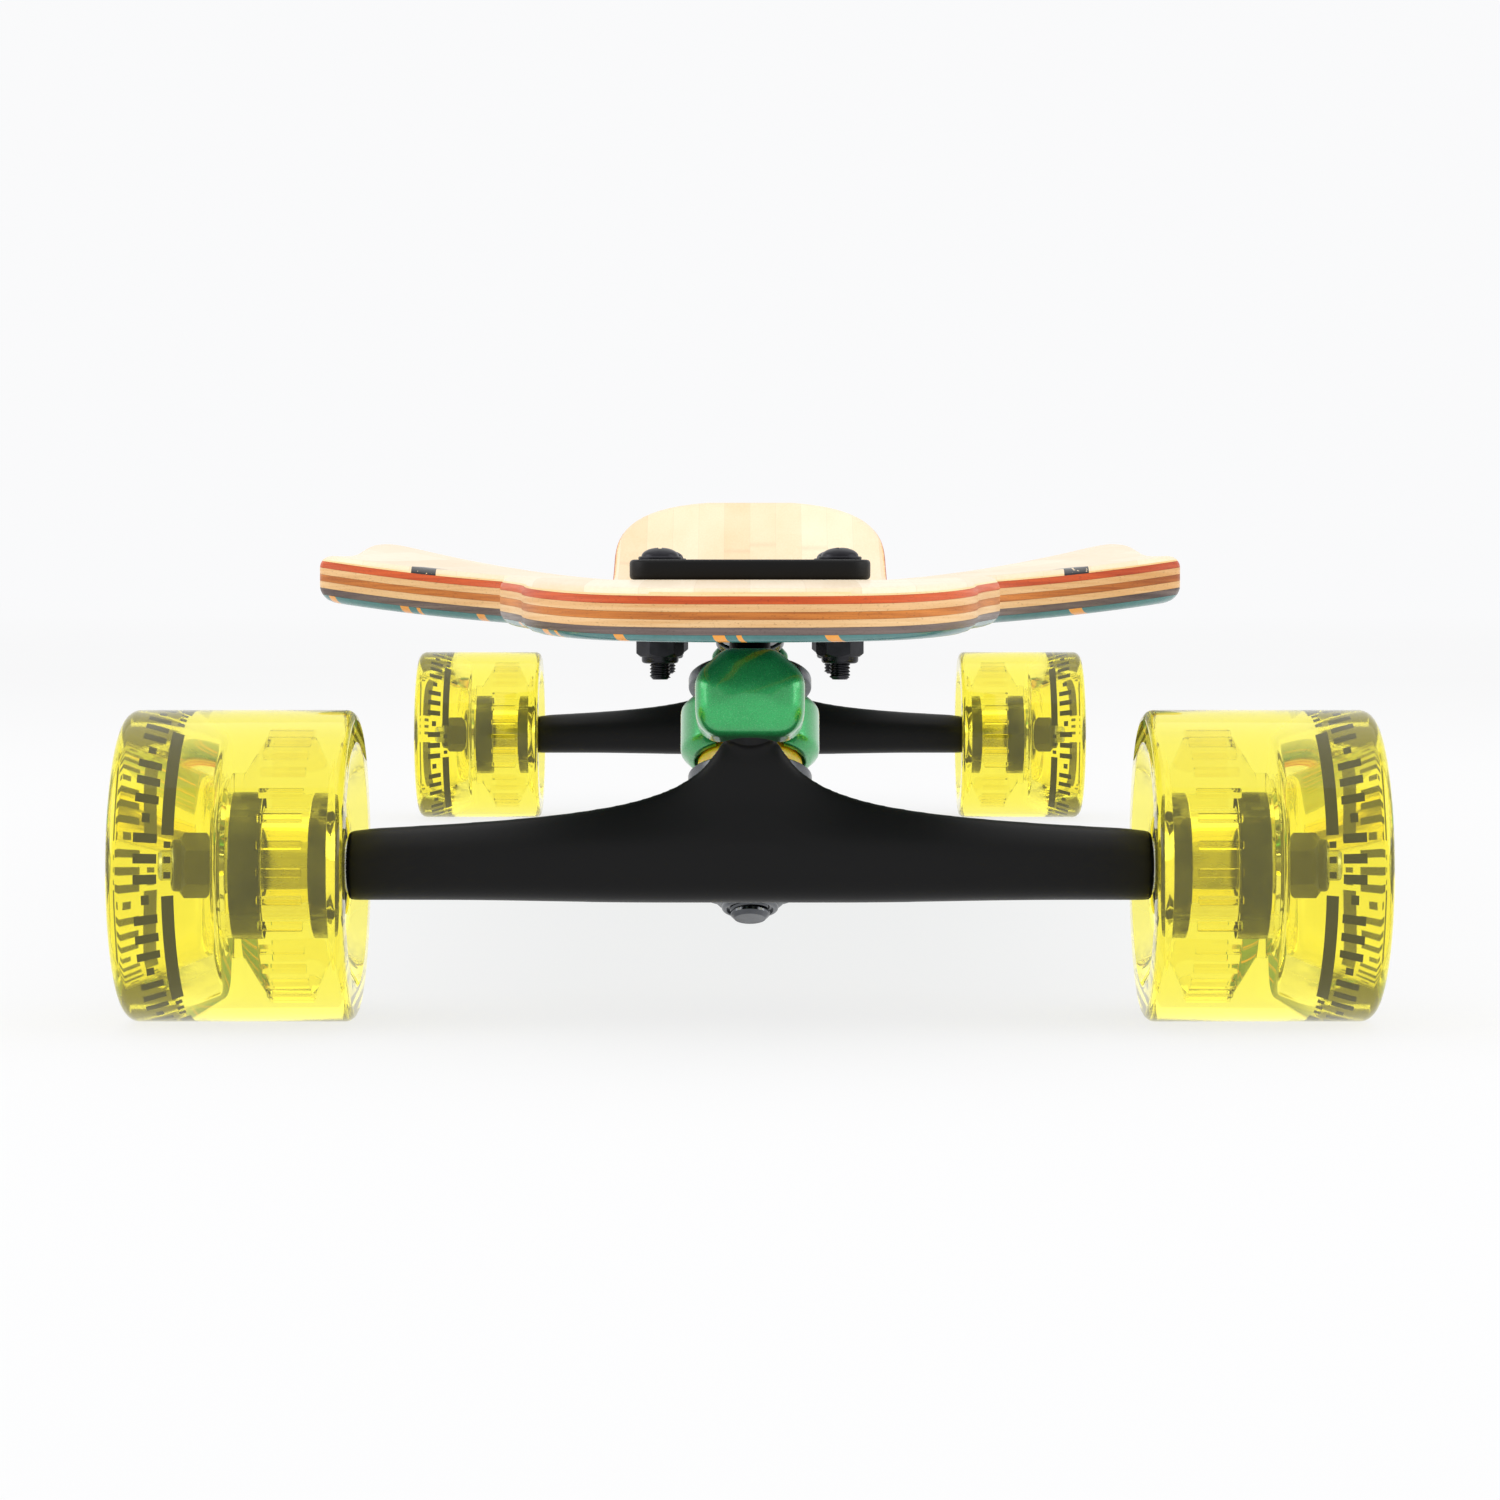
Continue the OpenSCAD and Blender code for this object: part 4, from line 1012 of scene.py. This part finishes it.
def box_outline(half, front, back, radius, steps=6):
    return rounded((-half, front, radius), (half, front, radius), (half, back, radius), (-half, back, radius), steps=steps)


def baseplate(side):
    flange = soften(plate(box_outline(FLANGE_HALF, ROW_1 - 11, ROW_1 + GAP_Y + 11, 6), FLANGE_T), 0.9, 3, 60)
    block = plate(box_outline(SLOT_HALF - 0.8, SLOT_FRONT + 0.8, SLOT_BACK - 0.8, 4), DECK_T + 2.6 + 1)
    seat_cone = lathe([(0, 0), (12, 0), (14, 22), (0, 22)], 64, ring=False)
    seat = moved(seat_cone, LEANING, tower(0, K1, SEAT1_H))
    keep = joined(
        plate([(-40, 0), (40, 0), (40, SLOT_BACK), (-40, SLOT_BACK)], DECK_UNDER - 0.8),
        moved(plate([(0.8 - SLOT_HALF, SLOT_FRONT + 0.8), (SLOT_HALF - 0.8, SLOT_FRONT + 0.8), (SLOT_HALF - 0.8, 62), (0.8 - SLOT_HALF, 62)], 20), tower(0, 0, DECK_UNDER - 2)),
    )
    seat = carve(seat, keep, "INTERSECT")
    pivot_y = PIVOT1 * math.cos(LEAN) + RING1_H * math.sin(LEAN)
    pivot_z = RING1_H * math.cos(LEAN) - PIVOT1 * math.sin(LEAN)
    outline = [(SLOT_BACK - 18, DECK_UNDER - 0.5), (SLOT_BACK + 8, DECK_UNDER - 0.5), (pivot_y + 10, pivot_z + 3), (pivot_y, pivot_z + CUP1_R)]
    side_on = Matrix.Rotation(math.radians(90), 4, "Z") @ Matrix.Rotation(math.radians(90), 4, "X")
    leg = moved(soften(plate(outline, 16), 1.5, 3), tower(-8, 0, 0), side_on)
    housing = moved(soften(rod(CUP1_R + 3.4, PIVOT1 - 7, PIVOT1 + 11, 64), 1.2, 2), LEANING, tower(0, 0, RING1_H), ALONG_Y)
    shape = joined(moved(flange, tower(0, 0, TRUCK_H)), moved(block, tower(0, 0, DECK_UNDER - 2.6)), cast(joined(seat, leg, housing), 0.6, 4))
    tools = [
        moved(rod(KINGPIN_R + 0.02, SEAT1_H - 3, SEAT1_H + 50), LEANING, tower(0, K1, 0)),
        moved(hexagon(14.7, 40, top=False, bottom=False), LEANING, tower(0, K1, SEAT1_H + 10)),
        moved(rod(CUP1_R + 0.02, PIVOT1 - 20, PIVOT1 + 8), LEANING, tower(0, 0, RING1_H), ALONG_Y),
    ]
    tools += [moved(rod(2.7, 40, 90, 32), tower(x, y, 0)) for x, y in BOLTS]
    for tool in tools:
        shape = carve(shape, tool)
    return finished(shape, f"{side}_baseplate_casting", "root", POWDER, truck_frame(side), (f"{side}_baseplate",), 38)


for side in SIDES:
    print(baseplate(side).name)

# %% [markdown]
# ## Kingpins, washers and bushings
# A kingpin is a bolt through a stack: washer, bushing, ring, bushing, washer, nut.
# The bushings ride on the kingpin's side of the joint.


# %% Kingpin stacks
def cupped(radius, thickness, rim):
    """A pressed washer with a raised rim and a groove, rim downwards."""
    return lathe(rounded(
        (KINGPIN_R, 0), (radius - 1.6, 0), (radius - 1.6, -rim), (radius, -rim, 0.35), (radius, thickness, 0.7),
        (radius - 3, thickness, 0.3), (radius - 3.5, thickness - 0.35, 0.2), (radius - 4.2, thickness, 0.3),
        (KINGPIN_R, thickness), steps=3,
    ), 72)


def bushing(radius, height):
    """A barrel of urethane with soft edges, narrower at its top."""
    return lathe(rounded(
        (KINGPIN_R + 0.2, 0), (radius, 0, 0.8), (radius, height * 0.7, 1.6), (radius - 1.4, height, 0.7),
        (KINGPIN_R + 0.2, height), steps=4,
    ), 72)


def kingpin(radius, low, high, head):
    """The bolt: a threaded end below, a plain shank and a hexagonal head."""
    tip = moved(lathe([(0, 0), (radius - 1.1, 0), (radius - 0.2, 0.9), (radius - 0.2, 1.6), (0, 1.6)], 40, ring=False), tower(0, 0, low))
    screw = moved(thread(radius, 1.5, 14), tower(0, 0, low + 1.5))
    shank = rod(radius, low + 15.4, high + 0.5)
    top = moved(hexagon(14.3, head), tower(0, 0, high))
    return joined(tip, screw, shank, top)


def lock_nut(across, height, hole, collar):
    """A hexagonal nut with a nylon collar, which points down."""
    shape = joined(
        moved(hexagon(across, height - collar), tower(0, 0, collar)),
        lathe(rounded((0, collar + 0.4), (across / 2 - 0.5, collar + 0.4), (across / 2 - 0.5, 0.3, 0.7), (hole + 0.7, 0, 0.3), (hole + 0.7, 0.8), (0, 0.8), steps=3), 48, ring=False),
    )
    return shape


def stack(side):
    place = truck_frame(side) @ LEANING
    at_1, at_2 = place @ tower(0, K1, 0), place @ tower(0, K2, 0)
    swivel = f"{side}_swivel"
    flip = Matrix.Rotation(math.pi, 4, "X")
    finished(kingpin(KINGPIN_R, LOW1_H - 9, SEAT1_H + 10, 6), f"{side}_upper_kingpin_bolt", "root", DARK_STEEL, at_1, (f"{side}_upper_kingpin",))
    finished(kingpin(KINGPIN_R, LOW2_H - 7, LINK_TOP, 5.5), f"{side}_lower_kingpin_bolt", swivel, DARK_STEEL, at_2, (f"{side}_lower_kingpin",))
    nut = lock_nut(14.3, 7, KINGPIN_R, 2)
    finished(nut, f"{side}_upper_lock_nut", "root", DARKENED_ZINC, at_1 @ tower(0, 0, LOW1_H - 7), (f"{side}_upper_kingpin_nut",))
    nut = lock_nut(14.3, 5, KINGPIN_R, 1.4)
    finished(nut, f"{side}_lower_lock_nut", swivel, DARKENED_ZINC, at_2 @ tower(0, 0, LOW2_H - 5), (f"{side}_lower_kingpin_nut",))
    pair = joined(
        moved(cupped(WASHER_R, WASHER_T, 1.4), tower(0, 0, SEAT1_H - WASHER_T)),
        moved(cupped(WASHER_R, WASHER_T, 3), tower(0, 0, LOW1_H + WASHER_T), flip),
    )
    finished(pair, f"{side}_upper_cupped_washers", "root", DARKENED_ZINC, at_1, (f"{side}_upper_washers",))
    pair = joined(
        moved(cupped(WASHER2_R, WASHER2_T, 0.01), tower(0, 0, SEAT2_H - WASHER2_T)),
        moved(cupped(WASHER2_R, WASHER2_T, 0.01), tower(0, 0, LOW2_H + WASHER2_T), flip),
    )
    finished(pair, f"{side}_lower_flat_washers", swivel, DARKENED_ZINC, at_2, (f"{side}_lower_washers",))
    stacks = (
        ("upper", "root", at_1, RING1_H, RING1_T, UPPER_BUSHING),
        ("lower", swivel, at_2, RING2_H, RING2_T, LOWER_BUSHING),
    )
    for which, body, at, ring_h, ring_t, height in stacks:
        for name, base, turn in (("top", ring_h + ring_t / 2 + height, flip), ("bottom", ring_h - ring_t / 2 - height, Matrix.Identity(4))):
            shape = bushing(BUSHING_R, height)
            piece = finished(shape, f"{side}_{which}_{name}_bushing", body, BUSHING, at @ tower(0, 0, base) @ turn, (f"{side}_{which}_bushings",))
            anchor = at @ Vector((0, 0, base))
            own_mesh(piece)


for side in SIDES:
    stack(side)
print("kingpin stacks done")

# %% [markdown]
# ### Pivot cups
# Each nose turns in a plastic cup pressed into its housing. Only its lip shows.


# %% Pivot cups
def cup(outer, inner, mouth, floor):
    """A cup along Z that opens towards -Z, with a ball-shaped floor."""
    arc = [(inner * math.cos(a), inner * math.sin(a)) for a in (math.radians(90 - 11.25 * i) for i in range(9))]
    inside = [(max(x, 0), y) for x, y in arc] + [(inner, -mouth)]
    return lathe(inside + [(outer, -mouth), (outer, floor), (0, floor)], 64, ring=False)


for side in SIDES:
    at_1 = truck_frame(side) @ LEANING @ tower(0, PIVOT1, RING1_H) @ ALONG_Y
    at_2 = truck_frame(side) @ ON_AXIS_2 @ Matrix.Rotation(math.radians(90), 4, "X")
    finished(cup(CUP1_R, NOSE1_R + 0.3, 7, 8), f"{side}_upper_cup", "root", ACETAL, at_1, (f"{side}_upper_pivot_cup",))
    finished(cup(CUP2_R - 0.8, NOSE2_R + 0.3, 1.5, 9), f"{side}_lower_cup", f"{side}_swivel", ACETAL, at_2, (f"{side}_lower_pivot_cup",))
print("cups done")

# %% [markdown]
# ## Deck bolts
# Eight dome-headed bolts hold the trucks. Each has a cross recess in its head, a
# threaded shank, a washer and a lock nut with a nylon collar below the deck.


# %% Deck bolts, nuts and washers
HEAD_R, HEAD_H, BOLT_R, BOLT_LEN = 5, 2.8, 2.4, 27.5
NUT_T, DECK_WASHER_T = 6.9, 1.2


def dome_head():
    """A domed head on a thin flange, with a cross recess."""
    dome = [(4.3 * math.cos(a), 0.75 + 2.05 * math.sin(a)) for a in (math.radians(10 * i) for i in range(9))]
    head = lathe([(0, 0), (HEAD_R - 0.15, 0), (HEAD_R, 0.2), (HEAD_R, 0.55), (HEAD_R - 0.2, 0.75)] + dome + [(0, HEAD_H)], 56, ring=False)
    for turn in (0, 90):
        blade = soften(plate([(-2.1, -0.42), (2.1, -0.42), (2.1, 0.42), (-2.1, 0.42)], 3), 0.12, 1)
        head = carve(head, moved(blade, Matrix.Rotation(math.radians(turn), 4, "Z"), tower(0, 0, 1.2)))
    return head


def bolt():
    shank = moved(rod(BOLT_R, 0, 16.2, 32), tower(0, 0, -16))
    screw = moved(thread(BOLT_R, 0.8, BOLT_LEN - 16.1, 0.3, 24), tower(0, 0, 0.4 - BOLT_LEN))
    tip = moved(lathe([(0, 0), (BOLT_R - 0.7, 0), (BOLT_R - 0.3, 0.45), (0, 0.45)], 24, ring=False), tower(0, 0, -BOLT_LEN))
    return joined(dome_head(), shank, screw, tip)


for side in SIDES:
    place = truck_frame(side)
    tops = [tower(x, y, TRUCK_H + FLANGE_T) for x, y in BOLTS]
    bolts = joined(*[moved(bolt(), top, Matrix.Rotation(0.6 * i, 4, "Z")) for i, top in enumerate(tops)])
    finished(bolts, f"{side}_dome_bolts", "root", BLACK_OXIDE, place, (f"{side}_deck_bolts",))
    under = DECK_UNDER - DECK_WASHER_T - NUT_T
    nuts = joined(*[moved(lock_nut(9.5, NUT_T, BOLT_R, 1.6), tower(x, y, under), Matrix.Rotation(0.3 * x, 4, "Z")) for x, y in BOLTS])
    finished(nuts, f"{side}_lock_nuts", "root", BLACK_OXIDE, place, (f"{side}_deck_nuts",))
washer_at = [truck_frame(side) @ tower(x, y, DECK_UNDER - DECK_WASHER_T) for side in SIDES for x, y in BOLTS]
washer_rings = [moved(lathe(rounded((BOLT_R, 0), (6, 0, 0.25), (6, DECK_WASHER_T, 0.25), (BOLT_R, DECK_WASHER_T), steps=2), 40), at) for at in washer_at]
finished(joined(*washer_rings), "deck_washer_set", "root", BLACK_OXIDE, Matrix.Identity(4), ("deck_washers",))
print("bolts done")

# %% [markdown]
# ## Axle, bearings and nuts
# Each hanger holds one steel rod. At each end sit, from the hanger outwards, a
# speed washer, a bearing, a spacer, a second bearing, another washer and a lock
# nut. The inner races turn with the axle and the outer ones with the wheel.

# %% Axle hardware
SPEED_T, BEARING_W, SPACER_W = 1.2, 7, 10
BEARING_1, BEARING_2 = SPEED_T, SPEED_T + BEARING_W + SPACER_W
WASHER_OUT = BEARING_2 + BEARING_W
NUT_AT = WASHER_OUT + SPEED_T
AXLE_END = NUT_AT + 8 + 2.6


def collar(inner, outer, height, edge=0.25):
    """A short turned ring with rounded edges, standing on Z 0."""
    return lathe(rounded((inner, 0), (outer, 0, edge), (outer, height, edge), (inner, height), steps=2), 64)


def axle_rod():
    """The axle: a plain bar, screw threads for the nuts, and two bare tips."""
    screw, tip, tip_r = 14, 2.6, 3.4
    plain = moved(rod(AXLE_R, -HANGER_HALF - AXLE_END + screw, HANGER_HALF + AXLE_END - screw), ALONG_X)
    ends = []
    for turn in (0, math.pi):
        end = thread(AXLE_R, 1.0, screw + 0.4 - tip, 0.35)
        cap = lathe([(0, 0), (tip_r, 0), (tip_r, tip - 0.3), (tip_r - 0.5, tip + 0.2), (0, tip + 0.2)], 32, ring=False)
        cap = moved(cap, tower(0, 0, screw + 0.2 - tip))
        whole = joined(end, cap)
        ends.append(moved(whole, Matrix.Rotation(turn, 4, "Z"), ALONG_X, tower(0, 0, HANGER_HALF + AXLE_END - screw - 0.4)))
    return joined(plain, *ends)


def both_ends(side, make):
    """The same small part at both ends of an axle, placed in the row frame."""
    return joined(*[moved(make(), hub_frame(side, hand)) for hand in HANDS])


def inner_races():
    groove = [(7.62 - 1.98 * math.cos(a), 3.5 + 1.98 * math.sin(a)) for a in (math.radians(15 * i) for i in range(-3, 4))]
    outline = [(AXLE_R, 0), (5.9, 0), (6.1, 0.2)] + groove + [(6.1, 6.8), (5.9, 7), (AXLE_R, 7)]
    outline = [(min(r, 6.1), z) for r, z in outline]
    return joined(*[moved(lathe(outline, 64), tower(0, 0, at)) for at in (BEARING_1, BEARING_2)])


def bearings():
    """Outer races with pressed shields and seven balls each."""
    parts = []
    for at in (BEARING_1, BEARING_2):
        groove = [(7.62 + 1.98 * math.cos(a), 3.5 - 1.98 * math.sin(a)) for a in (math.radians(15 * i) for i in range(-3, 4))]
        race = [(9.1, 7), (10.75, 7), (11, 6.75), (11, 0.25), (10.75, 0), (9.1, 0)] + [(max(r, 9.1), 7 - z) for r, z in groove]
        parts.append(moved(lathe(race, 144), tower(0, 0, at)))
        for face, out in ((0.35, 1), (6.65, -1)):
            shield = rounded((6.35, face), (6.9, face, 0.1), (7.2, face + 0.2 * out, 0.1), (8.6, face + 0.2 * out, 0.1), (8.9, face), (9.3, face), (9.3, face + 0.45 * out), (6.35, face + 0.45 * out), steps=2)
            parts.append(moved(lathe(shield, 72), tower(0, 0, at)))
        for index in range(7):
            ball = bmesh.new()
            bmesh.ops.create_uvsphere(ball, u_segments=16, v_segments=10, radius=1.95)
            angle = 2 * math.pi * index / 7
            parts.append(moved(ball, tower(7.6 * math.cos(angle), 7.6 * math.sin(angle), at + 3.5)))
    return joined(*parts)


for side in SIDES:
    steerer = f"{side}_steerer"
    here = Matrix.Identity(4)
    finished(axle_rod(), f"{side}_axle_rod", steerer, ZINC, truck_frame(side), (f"{side}_axle",))
    finished(both_ends(side, inner_races), f"{side}_races", steerer, ZINC, here, (f"{side}_inner_races",))
    finished(both_ends(side, lambda: moved(collar(AXLE_R, 5.4, SPACER_W), tower(0, 0, SPEED_T + BEARING_W))), f"{side}_spacer_tubes", steerer, ZINC, here, (f"{side}_spacers",))
    finished(both_ends(side, lambda: joined(*[moved(collar(AXLE_R, 6.1, SPEED_T), tower(0, 0, at)) for at in (0, WASHER_OUT)])), f"{side}_speed_rings", steerer, ZINC, here, (f"{side}_speed_washers",))
    nut_turn = Matrix.Rotation(math.pi, 4, "X")
    finished(both_ends(side, lambda: moved(lock_nut(12.7, 8, AXLE_R, 1.8), tower(0, 0, NUT_AT + 8), nut_turn)), f"{side}_axle_lock_nuts", steerer, BLACK_OXIDE, here, (f"{side}_axle_nuts",))
print("axles done")

# %% [markdown]
# ## Wheels
# A wheel is poured round a toothed core. Its tread is flat, its inner lip is
# sharp and its outer lip is broad and round, and both faces are dished. The maker
# prints a ring on the outer face; here it is a plain pattern of bars and arcs.

# %% Tyre, core and printed ring
CORE_FROM, CORE_TO = BEARING_1 - 0.4, WASHER_OUT + 0.4
CORE_MID = (CORE_FROM + CORE_TO) / 2
HUB_R, DISC_R, DISC_T, RIM_T = 14.6, 21.6, 9.5, 5.2
FACE_R, DISH_IN = 27.5, 5
DISH_LIP, DISH_FLOOR = (30.5, WHEEL_TO), (20.5, CORE_TO + 1.1)
BEARING_R, BORE_R = 11, 8.6
RIBS, RIB_H = 24, 1.3


def tyre():
    """The pour, which swallows the whole core so that no air lies between them."""
    low, high = WHEEL_FROM, WHEEL_TO
    skin, seat, lip = HUB_R + 0.05, BEARING_R - 0.1, BORE_R - 0.05
    return lathe(rounded(
        (seat, CORE_FROM - 0.05), (skin, CORE_FROM - 0.05, 0.4), (skin, low + DISH_IN, 0.6), (HUB_R + 3, low + DISH_IN, 1.5),
        (FACE_R, low, 1.2), (WHEEL_R, low, 2.4), (WHEEL_R, high, 3.2), (*DISH_LIP, 1.2),
        (*DISH_FLOOR, 2.5), (HUB_R, CORE_TO + 1.1, 0.5), (HUB_R - 1.2, CORE_TO + 0.05, 0.3), (seat, CORE_TO + 0.05),
        (seat, BEARING_2), (lip, BEARING_2, 0.3), (lip, BEARING_1 + BEARING_W, 0.3), (seat, BEARING_1 + BEARING_W), steps=8,
    ), 240)


def core():
    """A hub with bearing seats and a broad disc, whose ribs grip the urethane."""
    root = DISC_R - RIB_H
    hub = lathe(rounded(
        (BEARING_R, CORE_FROM), (HUB_R, CORE_FROM, 0.4), (HUB_R, CORE_MID - DISC_T, 1), (root, CORE_MID - RIM_T, 0.6),
        (root, CORE_MID + RIM_T, 0.6), (HUB_R, CORE_MID + DISC_T, 1), (HUB_R, CORE_TO, 0.4), (BEARING_R, CORE_TO),
        (BEARING_R, BEARING_2), (BORE_R, BEARING_2, 0.3), (BORE_R, BEARING_1 + BEARING_W, 0.3),
        (BEARING_R, BEARING_1 + BEARING_W), steps=3,
    ), 144)
    side = [(-0.9, root - 0.3), (0.9, root - 0.3), (0.7, DISC_R), (-0.7, DISC_R)]
    ribs = []
    for index in range(RIBS):
        rib = soften(plate(side, 2 * RIM_T - 0.6), 0.2, 1)
        ribs.append(moved(rib, Matrix.Rotation(2 * math.pi * index / RIBS, 4, "Z"), tower(0, 0, CORE_MID - RIM_T + 0.3)))
    return joined(hub, *ribs)


def on_dish(along, deep=0.08):
    """A point (radius, height) just under the outer dish's skin, at a distance down its slope."""
    down = (Vector(DISH_FLOOR) - Vector(DISH_LIP)).normalized()
    return Vector(DISH_LIP) + down * along + Vector((-down.y, down.x)) * deep


def printed_patch(near, far, start, sweep, steps):
    """A thin patch of ink between two distances down the dish, turned round by an angle."""
    shape = bmesh.new()
    ends = [shape.verts.new((radius, 0, height)) for radius, height in (on_dish(near), on_dish(far))]
    edge = shape.edges.new(ends)
    bmesh.ops.spin(
        shape, geom=ends + [edge], axis=(0, 0, 1), cent=(0, 0, 0), dvec=(0, 0, 0),
        angle=math.radians(sweep), steps=steps, use_merge=False, use_duplicate=False,
    )
    bmesh.ops.solidify(shape, geom=shape.faces[:], thickness=0.03)
    bmesh.ops.recalc_face_normals(shape, faces=shape.faces)
    return moved(shape, Matrix.Rotation(math.radians(start), 4, "Z"))


def printed_ring():
    """Bars, a broken band and short ticks, printed in the skin of the outer dish."""
    parts = []
    for index in range(40):
        near, far = ((6.2, 11.6), (6.2, 11.6), (6.2, 11.6), (8, 9.8))[index % 4]
        parts.append(printed_patch(near, far, index * 9, 4.2, 2))
    for index in range(4):
        parts.append(printed_patch(12.6, 15.4, index * 90 + 10, 62, 18))
        parts += [printed_patch(13.2, 14.8, index * 90 + 75 + tick * 7, 3, 1) for tick in range(3)]
    return joined(*parts)


def wheel(side, hand):
    body = f"{side}_{hand}_wheel"
    place = hub_frame(side, hand)
    finished(tyre(), f"{side}_{hand}_tyre_pour", body, URETHANE, place, (f"{side}_{hand}_tyre",))
    finished(core(), f"{side}_{hand}_core_moulding", body, CORE, place, (f"{side}_{hand}_core",))
    finished(printed_ring(), f"{side}_{hand}_printed_ring", body, INK, place, (f"{side}_{hand}_tyre",))
    finished(bearings(), f"{side}_{hand}_bearing_set", body, DARK_STEEL, place, (f"{side}_{hand}_bearings",))


for side in SIDES:
    for hand in HANDS:
        wheel(side, hand)
print("wheels done")
